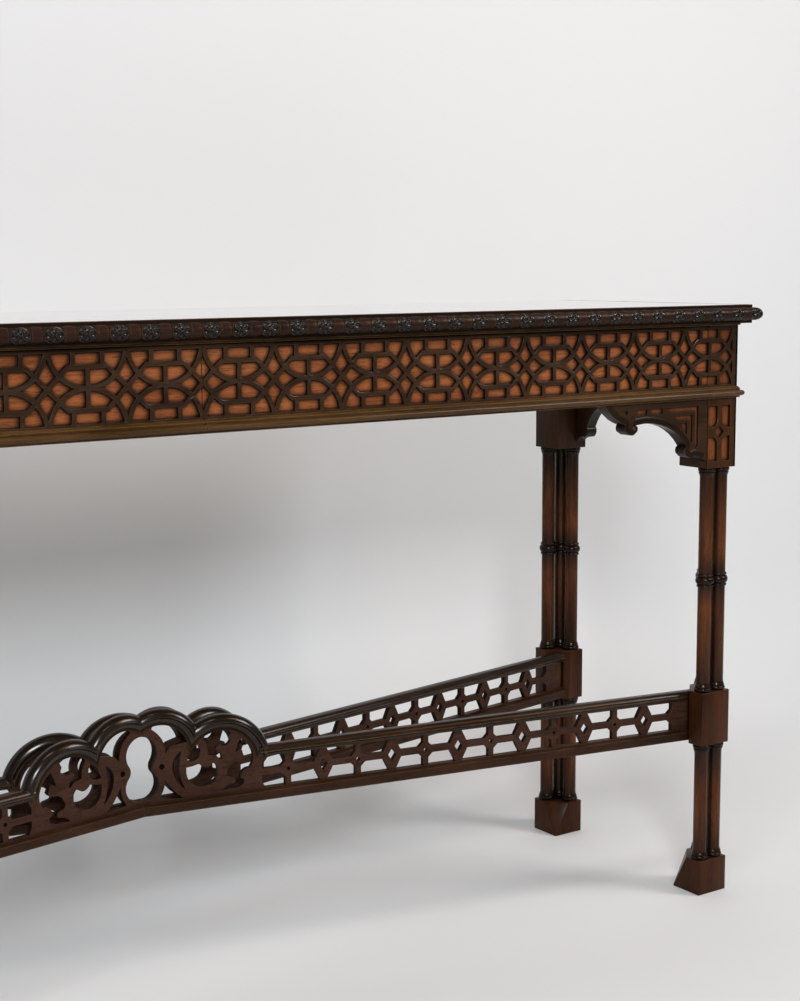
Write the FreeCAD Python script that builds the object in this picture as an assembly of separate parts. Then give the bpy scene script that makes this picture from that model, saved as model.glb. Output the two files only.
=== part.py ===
"""Pier table in the Chinese taste: two fretted drawers, clustered-column legs and a pierced X stretcher.

Units are millimetres.  +X runs to the right, +Y to the back, +Z up.  The origin is on the floor, in the
middle of the table's overall width and depth.  Each piece is written to parts/NODE.step.
"""
import FreeCAD
import Part
import math
import os

Vec = FreeCAD.Vector

# ---------------------------------------------------------------- driving dimensions
TABLE_HEIGHT = 865.0
FRIEZE_WIDTH = 1724.0           # over the outer faces of the posts
FRIEZE_DEPTH = 382.0            # over the front and back faces of the posts

# top board and its applied edge
TOP_THICKNESS = 26.0
TOP_OVERHANG = 13.6             # upper arris beyond the frieze, at the front and both ends
TOP_BACK_OVERHANG = 18.2
EDGE_STRIP_WIDTH = 10.0
EDGE_LIP_HEIGHT = 4.0           # flat fillets above and below the torus
EDGE_TORUS_BULGE = 12.0
COCK_BEAD_HEIGHT = 3.0
COCK_BEAD_PROJECTION = 2.5

# frieze, rails and posts
FRIEZE_HEIGHT = 105.7           # underside of the top to the bottom of the lower moulding
MOULDING_HEIGHT = 16.5
MOULDING_PROJECTION = 8.0
MOULDING_LIP = 3.2              # projection of the flat fillets beside the moulding's torus
MOULDING_FILLET = 2.5
MOULDING_TORUS = 7.7
MOULDING_SHOULDER = 3.3         # height of the slope above the upper fillet
POST_SIDE = 56.0
POST_DROP = 99.8                # post below the frieze
RAIL_THICKNESS = 17.0           # bearer and top rails between the drawers' levels
RAIL_WIDTH = 45.0
SIDE_RAIL_THICKNESS = 22.0
BACK_RAIL_THICKNESS = 20.0
TENON_LENGTH = 20.0
TENON_THICKNESS = 8.0
TENON_SHOULDER = 14.0
RAIL_TENON_WIDTH = 16.0         # of the flat tenons on the bearer and top rails
RAIL_TENON_SHOULDER = 4.25

# drawers
DRAWER_FRONT_THICKNESS = 20.0
DRAWER_SIDE_THICKNESS = 10.0
DRAWER_BACK_THICKNESS = 10.0
DRAWER_BOTTOM_THICKNESS = 6.0
DRAWER_BOTTOM_RAISE = 7.0       # lower edge of the sides up to the bottom board
DRAWER_BACK_GAP = 12.0          # behind a closed drawer
DRAWER_GAP = 0.8                # running clearance all round
GROOVE_DEPTH = 5.0
DOVETAIL_LAP = 7.0              # wood left in front of the lapped dovetails
DOVETAIL_COUNT = 3
DOVETAIL_SLOPE = 0.16
DOVETAIL_ROOT = 0.5             # share of each dovetail's spacing that its root takes
PARTITION_THICKNESS = 20.0
RUNNER_WIDTH = 30.0
GUIDE_HEIGHT = 16.0
STOP_HEIGHT = 5.0
STOP_WIDTH = 12.0
STOP_LENGTH = 40.0
GLUE_BLOCK_SIDE = 26.0
GLUE_BLOCK_LENGTH = 60.0
GLUE_BLOCK_PLACE = 0.25         # share of the end rail's length between its middle and a block's

# legs
BLOCK_SIDE = 54.0               # stretcher block and foot
FOOT_HEIGHT = 51.7
STRETCHER_BLOCK_HEIGHT = 79.2
STRETCHER_BLOCK_BOTTOM = 225.5
COLUMN_RADIUS = 9.5
COLUMN_FLATS = 12               # flats that stand for each slim column's round
COLUMN_SPACING = 27.5
CAPITAL_RADIUS = 12.8
CAPITAL_HEIGHT = 12.6
CAPITAL_TORUS = 5.7             # height of the full-width part of a capital
BASE_HEIGHT = 15.0
BASE_TORUS = 8.3
ANNULET_HEIGHT = 20.0
ANNULET_FLAT = 6.7              # height of the full-width part of an annulet
ANNULET_RADIUS = 13.2

# brackets
BRACKET_LENGTH = 211.0
SIDE_BRACKET_GAP = 16.0         # between the tips of a side rail's two brackets
BRACKET_HEIGHT = 88.3
BRACKET_THICKNESS = 25.0
BRACKET_SETBACK = 1.0

# X stretcher
STRETCHER_THICKNESS = 23.8
STRETCHER_PANEL = 14.0
STRETCHER_HALF_HEIGHT = 36.1
STRETCHER_RAIL = 14.7
STRETCHER_TENON = 12.0
STRETCHER_SOLID_END = 33.4      # unpierced length at the leg
MIDBAR_HALF = 4.3
MOTIF_PITCH = 50.3              # between a diamond and the next rosette of the running fret
LAST_BAY = 46.5
RING_BAY = 92.7                 # middle of the large ring to the first rosette
RING_BAY_START = 56.0
RING_BAY_CORNER = (6.0, 9.0)    # corner cut from that bay, under the ring
DIAMOND_HALF_WIDTH = 5.5
DIAMOND_HALF_HEIGHT = 7.4
DIAMOND_FRAME_AT_RAIL = 5.7
DIAMOND_FRAME_AT_BAR = 15.8
ROSETTE_BAR_HALF = 4.1
ROSETTE_HALF_HEIGHT = 10.5
CREST_RING_U = 108.0            # middle of the large ring, from the table's middle
CREST_RING_RISE = 15.4          # centre of its arch above the stretcher's middle
CREST_RING_RADIUS = 67.2
CREST_RING_END = 128.0          # degrees, where the ring's arch runs under the small one
CREST_ARCH_U = 25.6             # middle of the small inner arch
CREST_ARCH_RISE = 39.9
CREST_ARCH_RADIUS = 58.9
CREST_ARCH_START = 22.0
CREST_ARCH_END = 132.0
ARCH_STEP = 20.0                # degrees between the joints of an arched rail's flats
BOSS_U = 28.5
BOSS_RISE = 24.3
BOSS_RADIUS = 12.4
EYE_CIRCLES = [(44.2, 22.8), (9.1, 24.7)]       # rise and radius of the figure-eight's two lobes

# ---------------------------------------------------------------- drawn outlines
# Each starts at a point and goes on through end points, or (through, end) pairs for arcs.
# Rail section: across as a share of half its thickness, and height as a share of its own.
RAIL_SECTION = [(-1.0, 0.0), (1.0, 0.0), (1.0, 0.55), (0.55, 1.0), (-0.55, 1.0), (-1.0, 0.55)]

# Bracket: out from the post as a share of its length, and down from its top as a share of its height.
BRACKET_OUTLINE = [
    (0.0, 0.0),
    (1.0, 0.0),
    (0.903, -0.193),
    (0.789, -0.323),
    (0.790, -0.400),
    ((0.711, -0.470), (0.645, -0.400)),
    (0.653, -0.328),
    ((0.464, -0.357), (0.294, -0.678)),
    (0.304, -0.764),
    (0.270, -0.822),
    (0.178, -0.831),
    (0.0, -1.0),
]

# Crest piercings: out from the table's middle, and up from the stretcher's middle height.
CREST_SIDE = [
    (15.7, 74.5),
    (28.9, 61.3),
    (33.4, 40.2),
    (48.3, 51.1),
    (62.7, 53.3),
    (55.0, 67.5),
    (41.5, 77.5),
    (25.2, 80.9),
]
CREST_CRESCENT = [
    (55.2, 42.1),
    (47.2, 32.0),
    (45.3, 20.4),
    (50.0, 4.0),
    (61.2, -8.3),
    (54.2, 18.0),
]
CREST_SPANDREL = [
    (32.5, 8.5),
    (30.4, -5.5),
    (23.5, -17.5),
    (56.0, -17.5),
    (43.0, -8.5),
]
RING_OPENING = [
    (70.0, 47.0),
    ((108.0, 62.6), (146.0, 47.0)),
    ((154.0, 25.6), (146.0, 4.2)),
    ((108.0, -11.4), (70.0, 4.2)),
    ((62.0, 25.6), (70.0, 47.0)),
]

# Scroll and leaf tips that stand in the large ring.
RING_STEM = [
    (112.0, -16.0), (118.0, 8.0), (121.0, 28.0), (124.0, 66.0), (140.0, 62.0), (131.0, 22.0), (134.0, -16.0)]
RING_ARM = [(56.0, 21.0), (98.0, 21.0), (98.0, 27.6), (56.0, 27.6)]
RING_LINK = [(80.0, 64.0), (86.0, 44.0), (86.0, 22.0), (96.0, 16.0), (94.0, 44.0), (90.0, 66.0)]
RING_LEAF = [(102.5, 43.5), (113.0, 40.0), (126.0, 26.0), (126.0, 50.0)]
RING_FOOT = [(90.0, 22.0), (110.0, 12.0), (120.0, -4.0), (126.0, 12.0), (96.0, 26.0)]

# ---------------------------------------------------------------- levels and planes
SHIFT_Y = (TOP_OVERHANG + EDGE_TORUS_BULGE - TOP_BACK_OVERHANG) / 2.0
Y_FRONT = -FRIEZE_DEPTH / 2.0 + SHIFT_Y
Y_BACK = FRIEZE_DEPTH / 2.0 + SHIFT_Y
Y_MIDDLE = (Y_FRONT + Y_BACK) / 2.0
X_OUT = FRIEZE_WIDTH / 2.0
X_IN = X_OUT - POST_SIDE
POST_X = X_OUT - POST_SIDE / 2.0
POST_Y = Y_FRONT + POST_SIDE / 2.0

SIDE_BRACKET_LENGTH = (FRIEZE_DEPTH - 2 * POST_SIDE - SIDE_BRACKET_GAP) / 2.0

Z_UNDER_TOP = TABLE_HEIGHT - TOP_THICKNESS
Z_FRIEZE_BOTTOM = Z_UNDER_TOP - FRIEZE_HEIGHT
Z_CARCASS_BOTTOM = Z_FRIEZE_BOTTOM - DRAWER_GAP
Z_POST_BOTTOM = Z_FRIEZE_BOTTOM - POST_DROP
Z_BLOCK_TOP = STRETCHER_BLOCK_BOTTOM + STRETCHER_BLOCK_HEIGHT
Z_STRETCHER = STRETCHER_BLOCK_BOTTOM + STRETCHER_BLOCK_HEIGHT / 2.0
Z_BEARER_TOP = Z_CARCASS_BOTTOM + RAIL_THICKNESS
Z_TOP_RAIL_BOTTOM = Z_UNDER_TOP - RAIL_THICKNESS
Z_FRONT_TOP = Z_UNDER_TOP - COCK_BEAD_HEIGHT - 1.25 * DRAWER_GAP
Y_RAIL_FRONT = Y_FRONT + DRAWER_FRONT_THICKNESS + DRAWER_GAP
Y_RAIL_BACK = Y_RAIL_FRONT + RAIL_WIDTH
Y_BACK_RAIL = Y_BACK - BACK_RAIL_THICKNESS


# ---------------------------------------------------------------- small helpers
def box(low, high):
    """A box between two corners."""
    size = [high[i] - low[i] for i in range(3)]
    return Part.makeBox(size[0], size[1], size[2], Vec(*low))


def plan_prism(points, low, high):
    """A prism over a polygon in plan."""
    corners = [Vec(x, y, low) for x, y in points]
    return Part.Face(Part.makePolygon(corners + corners[:1])).extrude(Vec(0, 0, high - low))


def elevation_point(point):
    """A point of the XZ plane."""
    return Vec(point[0], 0, point[1])


def outline_wire(outline):
    """A closed wire in the XZ plane from a start point on, through end points and (through, end) arcs."""
    edges = []
    start = outline[0]
    here = start
    for move in outline[1:]:
        if isinstance(move[0], tuple):
            through, end = move
            arc = Part.Arc(elevation_point(here), elevation_point(through), elevation_point(end))
            edges.append(arc.toShape())
        else:
            end = move
            edges.append(Part.makeLine(elevation_point(here), elevation_point(end)))
        here = end
    if here != start:
        edges.append(Part.makeLine(elevation_point(here), elevation_point(start)))
    return Part.Wire(edges)


def placed(outline, along, up, rise):
    """An outline scaled along and up, then raised."""
    def move_point(point):
        return (point[0] * along, point[1] * up + rise)

    return [tuple(move_point(point) for point in move) if isinstance(move[0], tuple) else move_point(move)
            for move in outline]


def skin(rings):
    """A flat-sided solid through rings of points, each ring with the same number, with both ends closed."""
    faces = [Part.Face(Part.makePolygon(ring + ring[:1])) for ring in (rings[0], rings[-1])]
    for ring, following in zip(rings, rings[1:]):
        for index, point in enumerate(ring):
            beside = (index + 1) % len(ring)
            corners = [point, ring[beside], following[beside], following[index]]
            faces.append(Part.Face(Part.makePolygon(corners + corners[:1])))
    return Part.makeSolid(Part.makeShell(faces))


def slab(wire, thickness):
    """An XZ outline given its thickness evenly either side of Y = 0."""
    face = Part.Face(wire)
    face.translate(Vec(0, -thickness / 2.0, 0))
    return face.extrude(Vec(0, thickness, 0))


def disc(centre, radius, thickness):
    """A round slab in the XZ plane, evenly either side of Y = 0."""
    return Part.makeCylinder(radius, thickness, Vec(centre[0], -thickness / 2.0, centre[1]), Vec(0, 1, 0))


def mirror_x(shape):
    """The piece on the other side of the table's middle."""
    return shape.mirror(Vec(0, 0, 0), Vec(1, 0, 0))


def mirror_y(shape):
    """The piece on the other side of the plane midway between the front and back posts."""
    return shape.mirror(Vec(0, Y_MIDDLE, 0), Vec(0, 1, 0))


def compound(solids):
    """Several separate solids kept in one node."""
    return Part.makeCompound(solids)


def to_four_corners(shape, stem):
    """Names and shapes of a front right piece repeated at the four corners."""
    left = mirror_x(shape)
    return {
        stem + "_front_right": shape,
        stem + "_front_left": left,
        stem + "_rear_right": mirror_y(shape),
        stem + "_rear_left": mirror_y(left),
    }


# ---------------------------------------------------------------- mouldings
def run_along_front(profile, x_out, y_face, miter_size):
    """A moulding across the front, mitred at both ends.  The profile is a wire of (out, height)."""
    face = Part.Face(profile)
    face.rotate(Vec(0, 0, 0), Vec(0, 0, 1), -90)
    face.translate(Vec(-x_out - miter_size, y_face, 0))
    strip = face.extrude(Vec(2 * (x_out + miter_size), 0, 0))
    edge = miter_size
    plan = [(-x_out, y_face), (x_out, y_face), (x_out + edge, y_face - edge), (-x_out - edge, y_face - edge)]
    return strip.common(plan_prism(plan, 0, 2 * TABLE_HEIGHT))


def run_along_right(profile, x_face, y_face, y_end, miter_size):
    """A moulding along the right end, mitred at its front."""
    face = Part.Face(profile)
    face.translate(Vec(x_face, y_face - miter_size, 0))
    strip = face.extrude(Vec(0, y_end - y_face + miter_size, 0))
    edge = miter_size
    plan = [(x_face, y_face), (x_face + edge, y_face - edge), (x_face + edge, y_end), (x_face, y_end)]
    return strip.common(plan_prism(plan, 0, 2 * TABLE_HEIGHT))


def edge_profile():
    """The top's edge: a fillet, a large torus and a second fillet."""
    high = TABLE_HEIGHT
    low = TABLE_HEIGHT - TOP_THICKNESS
    out = EDGE_STRIP_WIDTH
    middle = (high + low) / 2.0
    torus_top = high - EDGE_LIP_HEIGHT
    torus_bottom = low + EDGE_LIP_HEIGHT
    return outline_wire([
        (0, low),
        (out, low),
        (out, torus_bottom),
        ((out + EDGE_TORUS_BULGE, middle), (out, torus_top)),
        (out, high),
        (0, high),
    ])


def cock_bead_profile():
    """The small rounded bead that closes the joint under the top."""
    low = Z_UNDER_TOP - COCK_BEAD_HEIGHT
    flat = COCK_BEAD_PROJECTION - COCK_BEAD_HEIGHT / 4.0
    return outline_wire([
        (0, low),
        (flat, low),
        (COCK_BEAD_PROJECTION, low + COCK_BEAD_HEIGHT / 4.0),
        (COCK_BEAD_PROJECTION, Z_UNDER_TOP - COCK_BEAD_HEIGHT / 4.0),
        (flat, Z_UNDER_TOP),
        (0, Z_UNDER_TOP),
    ])


def frieze_moulding_profile():
    """The frieze's lower moulding: a fillet, a torus and a sloping shoulder."""
    low = Z_FRIEZE_BOTTOM
    torus_low = low + MOULDING_FILLET
    torus_top = torus_low + MOULDING_TORUS
    return outline_wire([
        (0, low),
        (MOULDING_LIP, low),
        (MOULDING_LIP, torus_low),
        ((MOULDING_PROJECTION, (torus_low + torus_top) / 2.0), (MOULDING_LIP, torus_top)),
        (MOULDING_LIP, low + MOULDING_HEIGHT - MOULDING_SHOULDER),
        (0, low + MOULDING_HEIGHT),
    ])


# ---------------------------------------------------------------- top
def make_top():
    """The board, its three applied edges and the cock beads under it."""
    reach = TOP_OVERHANG - EDGE_STRIP_WIDTH
    x_board = X_OUT + reach
    y_board = Y_FRONT - reach
    y_end = Y_BACK + TOP_BACK_OVERHANG
    miter = EDGE_STRIP_WIDTH + 2 * EDGE_TORUS_BULGE
    edge_right = run_along_right(edge_profile(), x_board, y_board, y_end, miter)
    bead = cock_bead_profile()
    bead_miter = 2 * COCK_BEAD_PROJECTION
    bead_right = run_along_right(bead, X_OUT, Y_FRONT, Y_BACK, bead_miter)
    bead_front = run_along_front(bead, X_OUT, Y_FRONT, bead_miter)
    return {
        "top_board": box((-x_board, y_board, Z_UNDER_TOP), (x_board, y_end, TABLE_HEIGHT)),
        "top_edge_front": run_along_front(edge_profile(), x_board, y_board, miter),
        "top_edge_right": edge_right,
        "top_edge_left": mirror_x(edge_right),
        "cock_beads": compound([bead_front, bead_right, mirror_x(bead_right)]),
    }


# ---------------------------------------------------------------- rails and tenons
def tenon_between(low, high, axis):
    """The tenons at both ends of a rail: boxes that stand out along the axis."""
    ends = []
    for end, way in ((low[axis], -1), (high[axis], 1)):
        a = list(low)
        b = list(high)
        a[axis], b[axis] = sorted((end, end + way * TENON_LENGTH))
        ends.append((tuple(a), tuple(b)))
    return [box(a, b) for a, b in ends]


def make_side_rail():
    """The right side rail and its tenons."""
    y_low = Y_FRONT + POST_SIDE
    y_high = Y_BACK - POST_SIDE
    x_low = X_OUT - SIDE_RAIL_THICKNESS
    body = box((x_low, y_low, Z_CARCASS_BOTTOM), (X_OUT, y_high, Z_UNDER_TOP))
    x_tenon = X_OUT - (SIDE_RAIL_THICKNESS + TENON_THICKNESS) / 2.0
    low = (x_tenon, y_low, Z_CARCASS_BOTTOM + TENON_SHOULDER)
    high = (x_tenon + TENON_THICKNESS, y_high, Z_UNDER_TOP - TENON_SHOULDER)
    tenons = tenon_between(low, high, 1)
    return body.fuse(tenons).removeSplitter(), tenons


def make_cross_rail(y_low, y_high, z_low, z_high, tenon_low, tenon_high):
    """A rail from post to post along X, with a tenon of the given section at each end."""
    body = box((-X_IN, y_low, z_low), (X_IN, y_high, z_high))
    tenons = tenon_between((-X_IN, tenon_low[0], tenon_low[1]), (X_IN, tenon_high[0], tenon_high[1]), 0)
    return body.fuse(tenons).removeSplitter(), tenons


def make_rails():
    """All rails, with the tenons that the posts are mortised for."""
    y_tenon = Y_FRONT + POST_SIDE / 2.0
    half = RAIL_TENON_WIDTH / 2.0
    bearer, bearer_tenons = make_cross_rail(
        Y_RAIL_FRONT, Y_RAIL_BACK, Z_CARCASS_BOTTOM, Z_BEARER_TOP,
        (y_tenon - half, Z_CARCASS_BOTTOM + RAIL_TENON_SHOULDER),
        (y_tenon + half, Z_BEARER_TOP - RAIL_TENON_SHOULDER))
    top_rail, top_tenons = make_cross_rail(
        Y_RAIL_FRONT, Y_RAIL_BACK, Z_TOP_RAIL_BOTTOM, Z_UNDER_TOP,
        (y_tenon - half, Z_TOP_RAIL_BOTTOM + RAIL_TENON_SHOULDER),
        (y_tenon + half, Z_UNDER_TOP - RAIL_TENON_SHOULDER))
    y_back_tenon = Y_BACK - (BACK_RAIL_THICKNESS + TENON_THICKNESS) / 2.0
    back_rail, back_tenons = make_cross_rail(
        Y_BACK_RAIL, Y_BACK, Z_CARCASS_BOTTOM, Z_UNDER_TOP,
        (y_back_tenon, Z_CARCASS_BOTTOM + TENON_SHOULDER),
        (y_back_tenon + TENON_THICKNESS, Z_UNDER_TOP - TENON_SHOULDER))
    side_rail, side_tenons = make_side_rail()
    nodes = {
        "bearer_rail": bearer,
        "top_rail": top_rail,
        "back_rail": back_rail,
        "side_rail_right": side_rail,
        "side_rail_left": mirror_x(side_rail),
    }
    return nodes, bearer_tenons + top_tenons + back_tenons + side_tenons


def make_frieze_mouldings():
    """The fixed moulding of each end, with its short return across the front post."""
    profile = frieze_moulding_profile()
    miter = 2 * MOULDING_PROJECTION
    side = run_along_right(profile, X_OUT, Y_FRONT, Y_BACK, miter)
    front = run_along_front(profile, X_OUT, Y_FRONT, miter)
    keep = box((X_IN, Y_FRONT - miter, 0), (X_OUT + miter, Y_FRONT, TABLE_HEIGHT))
    right = side.fuse(front.common(keep)).removeSplitter()
    return {"frieze_moulding_right": right, "frieze_moulding_left": mirror_x(right)}


def make_drawer_carriers():
    """Centre partition, runners, kickers, guides, stops and glue blocks."""
    half = PARTITION_THICKNESS / 2.0
    partition = box((-half, Y_RAIL_FRONT, Z_BEARER_TOP), (half, Y_BACK_RAIL, Z_UNDER_TOP))
    notch = box((-half, Y_RAIL_FRONT, Z_TOP_RAIL_BOTTOM), (half, Y_RAIL_BACK, Z_UNDER_TOP))
    runner_high = (X_IN, Y_BACK_RAIL, Z_BEARER_TOP)
    outer_runner = box((X_IN - RUNNER_WIDTH, Y_RAIL_BACK, Z_CARCASS_BOTTOM), runner_high)
    centre_runner = box((-RUNNER_WIDTH, Y_RAIL_BACK, Z_CARCASS_BOTTOM),
                        (RUNNER_WIDTH, Y_BACK_RAIL, Z_BEARER_TOP))
    outer_kicker = box((X_IN - RUNNER_WIDTH, Y_RAIL_BACK, Z_TOP_RAIL_BOTTOM),
                       (X_IN, Y_BACK_RAIL, Z_UNDER_TOP))
    inner_kicker = box((half, Y_RAIL_BACK, Z_TOP_RAIL_BOTTOM), (RUNNER_WIDTH, Y_BACK_RAIL, Z_UNDER_TOP))
    guide = box((X_IN, Y_FRONT + POST_SIDE, Z_BEARER_TOP - GUIDE_HEIGHT),
                (X_OUT - SIDE_RAIL_THICKNESS, Y_BACK - POST_SIDE, Z_BEARER_TOP + GUIDE_HEIGHT))
    stops = []
    for x in (0.2 * X_IN, 0.8 * X_IN):
        low = (x - STOP_LENGTH / 2.0, Y_RAIL_FRONT, Z_BEARER_TOP)
        stops.append(box(low, (x + STOP_LENGTH / 2.0, Y_RAIL_FRONT + STOP_WIDTH, Z_BEARER_TOP + STOP_HEIGHT)))
    stops += [mirror_x(stop) for stop in stops]
    return {
        "centre_partition": partition.cut(notch),
        "drawer_runners": compound([outer_runner, centre_runner, mirror_x(outer_runner)]),
        "drawer_kickers": compound([outer_kicker, inner_kicker, mirror_x(inner_kicker),
                                    mirror_x(outer_kicker)]),
        "drawer_guides": compound([guide, mirror_x(guide)]),
        "drawer_stops": compound(stops),
        "glue_blocks": make_glue_blocks(),
    }


def make_glue_blocks():
    """Three-cornered blocks under the top, along the two side rails."""
    side = GLUE_BLOCK_SIDE
    x_rail = X_OUT - SIDE_RAIL_THICKNESS
    wire = outline_wire([(x_rail, Z_UNDER_TOP), (x_rail - side, Z_UNDER_TOP), (x_rail, Z_UNDER_TOP - side)])
    blocks = []
    for share in (-GLUE_BLOCK_PLACE, GLUE_BLOCK_PLACE):
        block = slab(wire, GLUE_BLOCK_LENGTH)
        block.translate(Vec(0, Y_MIDDLE + share * (FRIEZE_DEPTH - 2 * POST_SIDE), 0))
        blocks.append(block)
    return compound(blocks + [mirror_x(block) for block in blocks])


# ---------------------------------------------------------------- legs
def turned(profile):
    """A turned piece about Z from (radius, height) points, lowest first."""
    turns = [2.0 * math.pi * (step + 0.5) / COLUMN_FLATS for step in range(COLUMN_FLATS)]
    return skin([[Vec(radius * math.cos(turn), radius * math.sin(turn), height) for turn in turns]
                 for radius, height in profile])


def column_profile(low, high, with_annulet):
    """A turned column: base, plain shaft, capital and, on a tall one, an annulet half way up."""
    waist = COLUMN_RADIUS
    lip = CAPITAL_RADIUS
    points = [(lip, low), (lip, low + BASE_TORUS), (waist, low + BASE_HEIGHT)]
    if with_annulet:
        middle = (low + high) / 2.0
        half = ANNULET_HEIGHT / 2.0
        flat = ANNULET_FLAT / 2.0
        points += [(waist, middle - half), (ANNULET_RADIUS, middle - flat),
                   (ANNULET_RADIUS, middle + flat), (waist, middle + half)]
    points += [(waist, high - CAPITAL_HEIGHT), (lip, high - CAPITAL_TORUS), (lip, high)]
    return points


def column_cluster(low, high, with_annulet):
    """Three columns at the outer corners of the leg; the corner towards the table's middle is open."""
    half = COLUMN_SPACING / 2.0
    column = turned(column_profile(low, high, with_annulet))
    cluster = []
    for side_x, side_y in ((1, -1), (1, 1), (-1, -1)):
        piece = column.copy()
        piece.translate(Vec(POST_X + side_x * half, POST_Y + side_y * half, 0))
        cluster.append(piece)
    return cluster


def make_columns():
    """The upper and lower columns of one leg."""
    upper = column_cluster(Z_BLOCK_TOP, Z_POST_BOTTOM, True)
    lower = column_cluster(FOOT_HEIGHT, STRETCHER_BLOCK_BOTTOM, False)
    return compound(lower + upper)


def make_foot():
    """A square foot whose inner corner is cut back at the top to the stretcher block's line."""
    half = BLOCK_SIDE / 2.0
    foot = box((POST_X - half, POST_Y - half, 0), (POST_X + half, POST_Y + half, FOOT_HEIGHT))
    corner = Vec(POST_X - half, POST_Y + half, FOOT_HEIGHT)
    tip = Vec(POST_X - half, POST_Y + half, 0)
    along_x = corner + Vec(half, 0, 0)
    along_y = corner - Vec(0, half, 0)
    triangles = [(corner, along_x, along_y), (corner, along_x, tip), (corner, tip, along_y),
                 (along_x, along_y, tip)]
    faces = [Part.Face(Part.makePolygon(list(corners) + [corners[0]])) for corners in triangles]
    wedge = Part.makeSolid(Part.makeShell(faces))
    return foot.cut(wedge)


def make_stretcher_block():
    """The block that takes the stretcher, its inner corner cut to a broad chamfer."""
    half = BLOCK_SIDE / 2.0
    plan = [(POST_X - half, POST_Y - half), (POST_X + half, POST_Y - half), (POST_X + half, POST_Y + half),
            (POST_X, POST_Y + half), (POST_X - half, POST_Y)]
    return plan_prism(plan, STRETCHER_BLOCK_BOTTOM, Z_BLOCK_TOP)


# ---------------------------------------------------------------- brackets
def make_brackets():
    """Two long front brackets, and four short ones under the side rails."""
    front_outline = placed(BRACKET_OUTLINE, BRACKET_LENGTH, BRACKET_HEIGHT, 0.0)
    front = slab(outline_wire(front_outline), BRACKET_THICKNESS)
    front.translate(Vec(0, BRACKET_THICKNESS / 2.0, 0))
    front = mirror_x(front)
    front.translate(Vec(X_IN, Y_FRONT + BRACKET_SETBACK, Z_CARCASS_BOTTOM))
    side_outline = placed(BRACKET_OUTLINE, SIDE_BRACKET_LENGTH, BRACKET_HEIGHT, 0.0)
    side = slab(outline_wire(side_outline), BRACKET_THICKNESS)
    side.rotate(Vec(0, 0, 0), Vec(0, 0, 1), 90)
    x_side = X_OUT - BRACKET_SETBACK - BRACKET_THICKNESS / 2.0
    side.translate(Vec(x_side, Y_FRONT + POST_SIDE, Z_CARCASS_BOTTOM))
    nodes = {"bracket_front_right": front, "bracket_front_left": mirror_x(front)}
    nodes.update(to_four_corners(side, "bracket_side"))
    return nodes


# ---------------------------------------------------------------- X stretcher
def rail_section(inner):
    """The rail's section as (across, height) points, its flat lower face at the height inner."""
    half = STRETCHER_THICKNESS / 2.0
    return [(across * half, inner + height * STRETCHER_RAIL) for across, height in RAIL_SECTION]


def straight_rail(u_low, u_high, inner):
    """A straight stretch of stretcher rail."""
    return skin([[Vec(u, across, height) for across, height in rail_section(inner)] for u in (u_low, u_high)])


def arched_rail(centre, outer_radius, first_angle, last_angle):
    """The rail carried over an arch, its ends at angles in degrees from +U."""
    steps = math.ceil((last_angle - first_angle) / ARCH_STEP)
    rings = []
    for step in range(steps + 1):
        angle = math.radians(first_angle + (last_angle - first_angle) * step / steps)
        rings.append([Vec(centre[0] + radius * math.cos(angle), across, centre[1] + radius * math.sin(angle))
                      for across, radius in rail_section(outer_radius - STRETCHER_RAIL)])
    return skin(rings)


def fret_opening(u_diamond, u_rosette, z_side):
    """One opening of the running fret, above (1) or below (-1) the middle bar."""
    way = 1 if u_rosette > u_diamond else -1
    edge = Z_STRETCHER + z_side * (STRETCHER_HALF_HEIGHT - STRETCHER_RAIL)
    bar = Z_STRETCHER + z_side * MIDBAR_HALF
    notch = Z_STRETCHER + z_side * ROSETTE_HALF_HEIGHT
    return outline_wire([
        (u_diamond + way * DIAMOND_FRAME_AT_RAIL, edge),
        (u_rosette - way * ROSETTE_BAR_HALF, edge),
        (u_rosette - way * ROSETTE_BAR_HALF, notch),
        (u_rosette - way * ROSETTE_HALF_HEIGHT, bar),
        (u_diamond + way * DIAMOND_FRAME_AT_BAR, bar),
    ])


def pierced(outline, thickness):
    """The slab of a crest outline, at the stretcher's height."""
    return slab(outline_wire(placed(outline, 1.0, 1.0, Z_STRETCHER)), thickness)


def crest_openings(thickness):
    """The crest's pierced shapes, right half; those on the middle line are whole."""
    boss = disc((BOSS_U, Z_STRETCHER + BOSS_RISE), BOSS_RADIUS, thickness)
    lobes = [disc((0, Z_STRETCHER + rise), radius, thickness) for rise, radius in EYE_CIRCLES]
    eye = lobes[0].fuse(lobes[1]).cut(boss).cut(mirror_x(boss))
    ring = pierced(RING_OPENING, thickness)
    for scroll in (RING_STEM, RING_ARM, RING_LINK, RING_LEAF, RING_FOOT):
        ring = ring.cut(pierced(scroll, thickness))
    small = (CREST_SIDE, CREST_CRESCENT, CREST_SPANDREL)
    return [eye, ring] + [pierced(outline, thickness) for outline in small]


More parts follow.
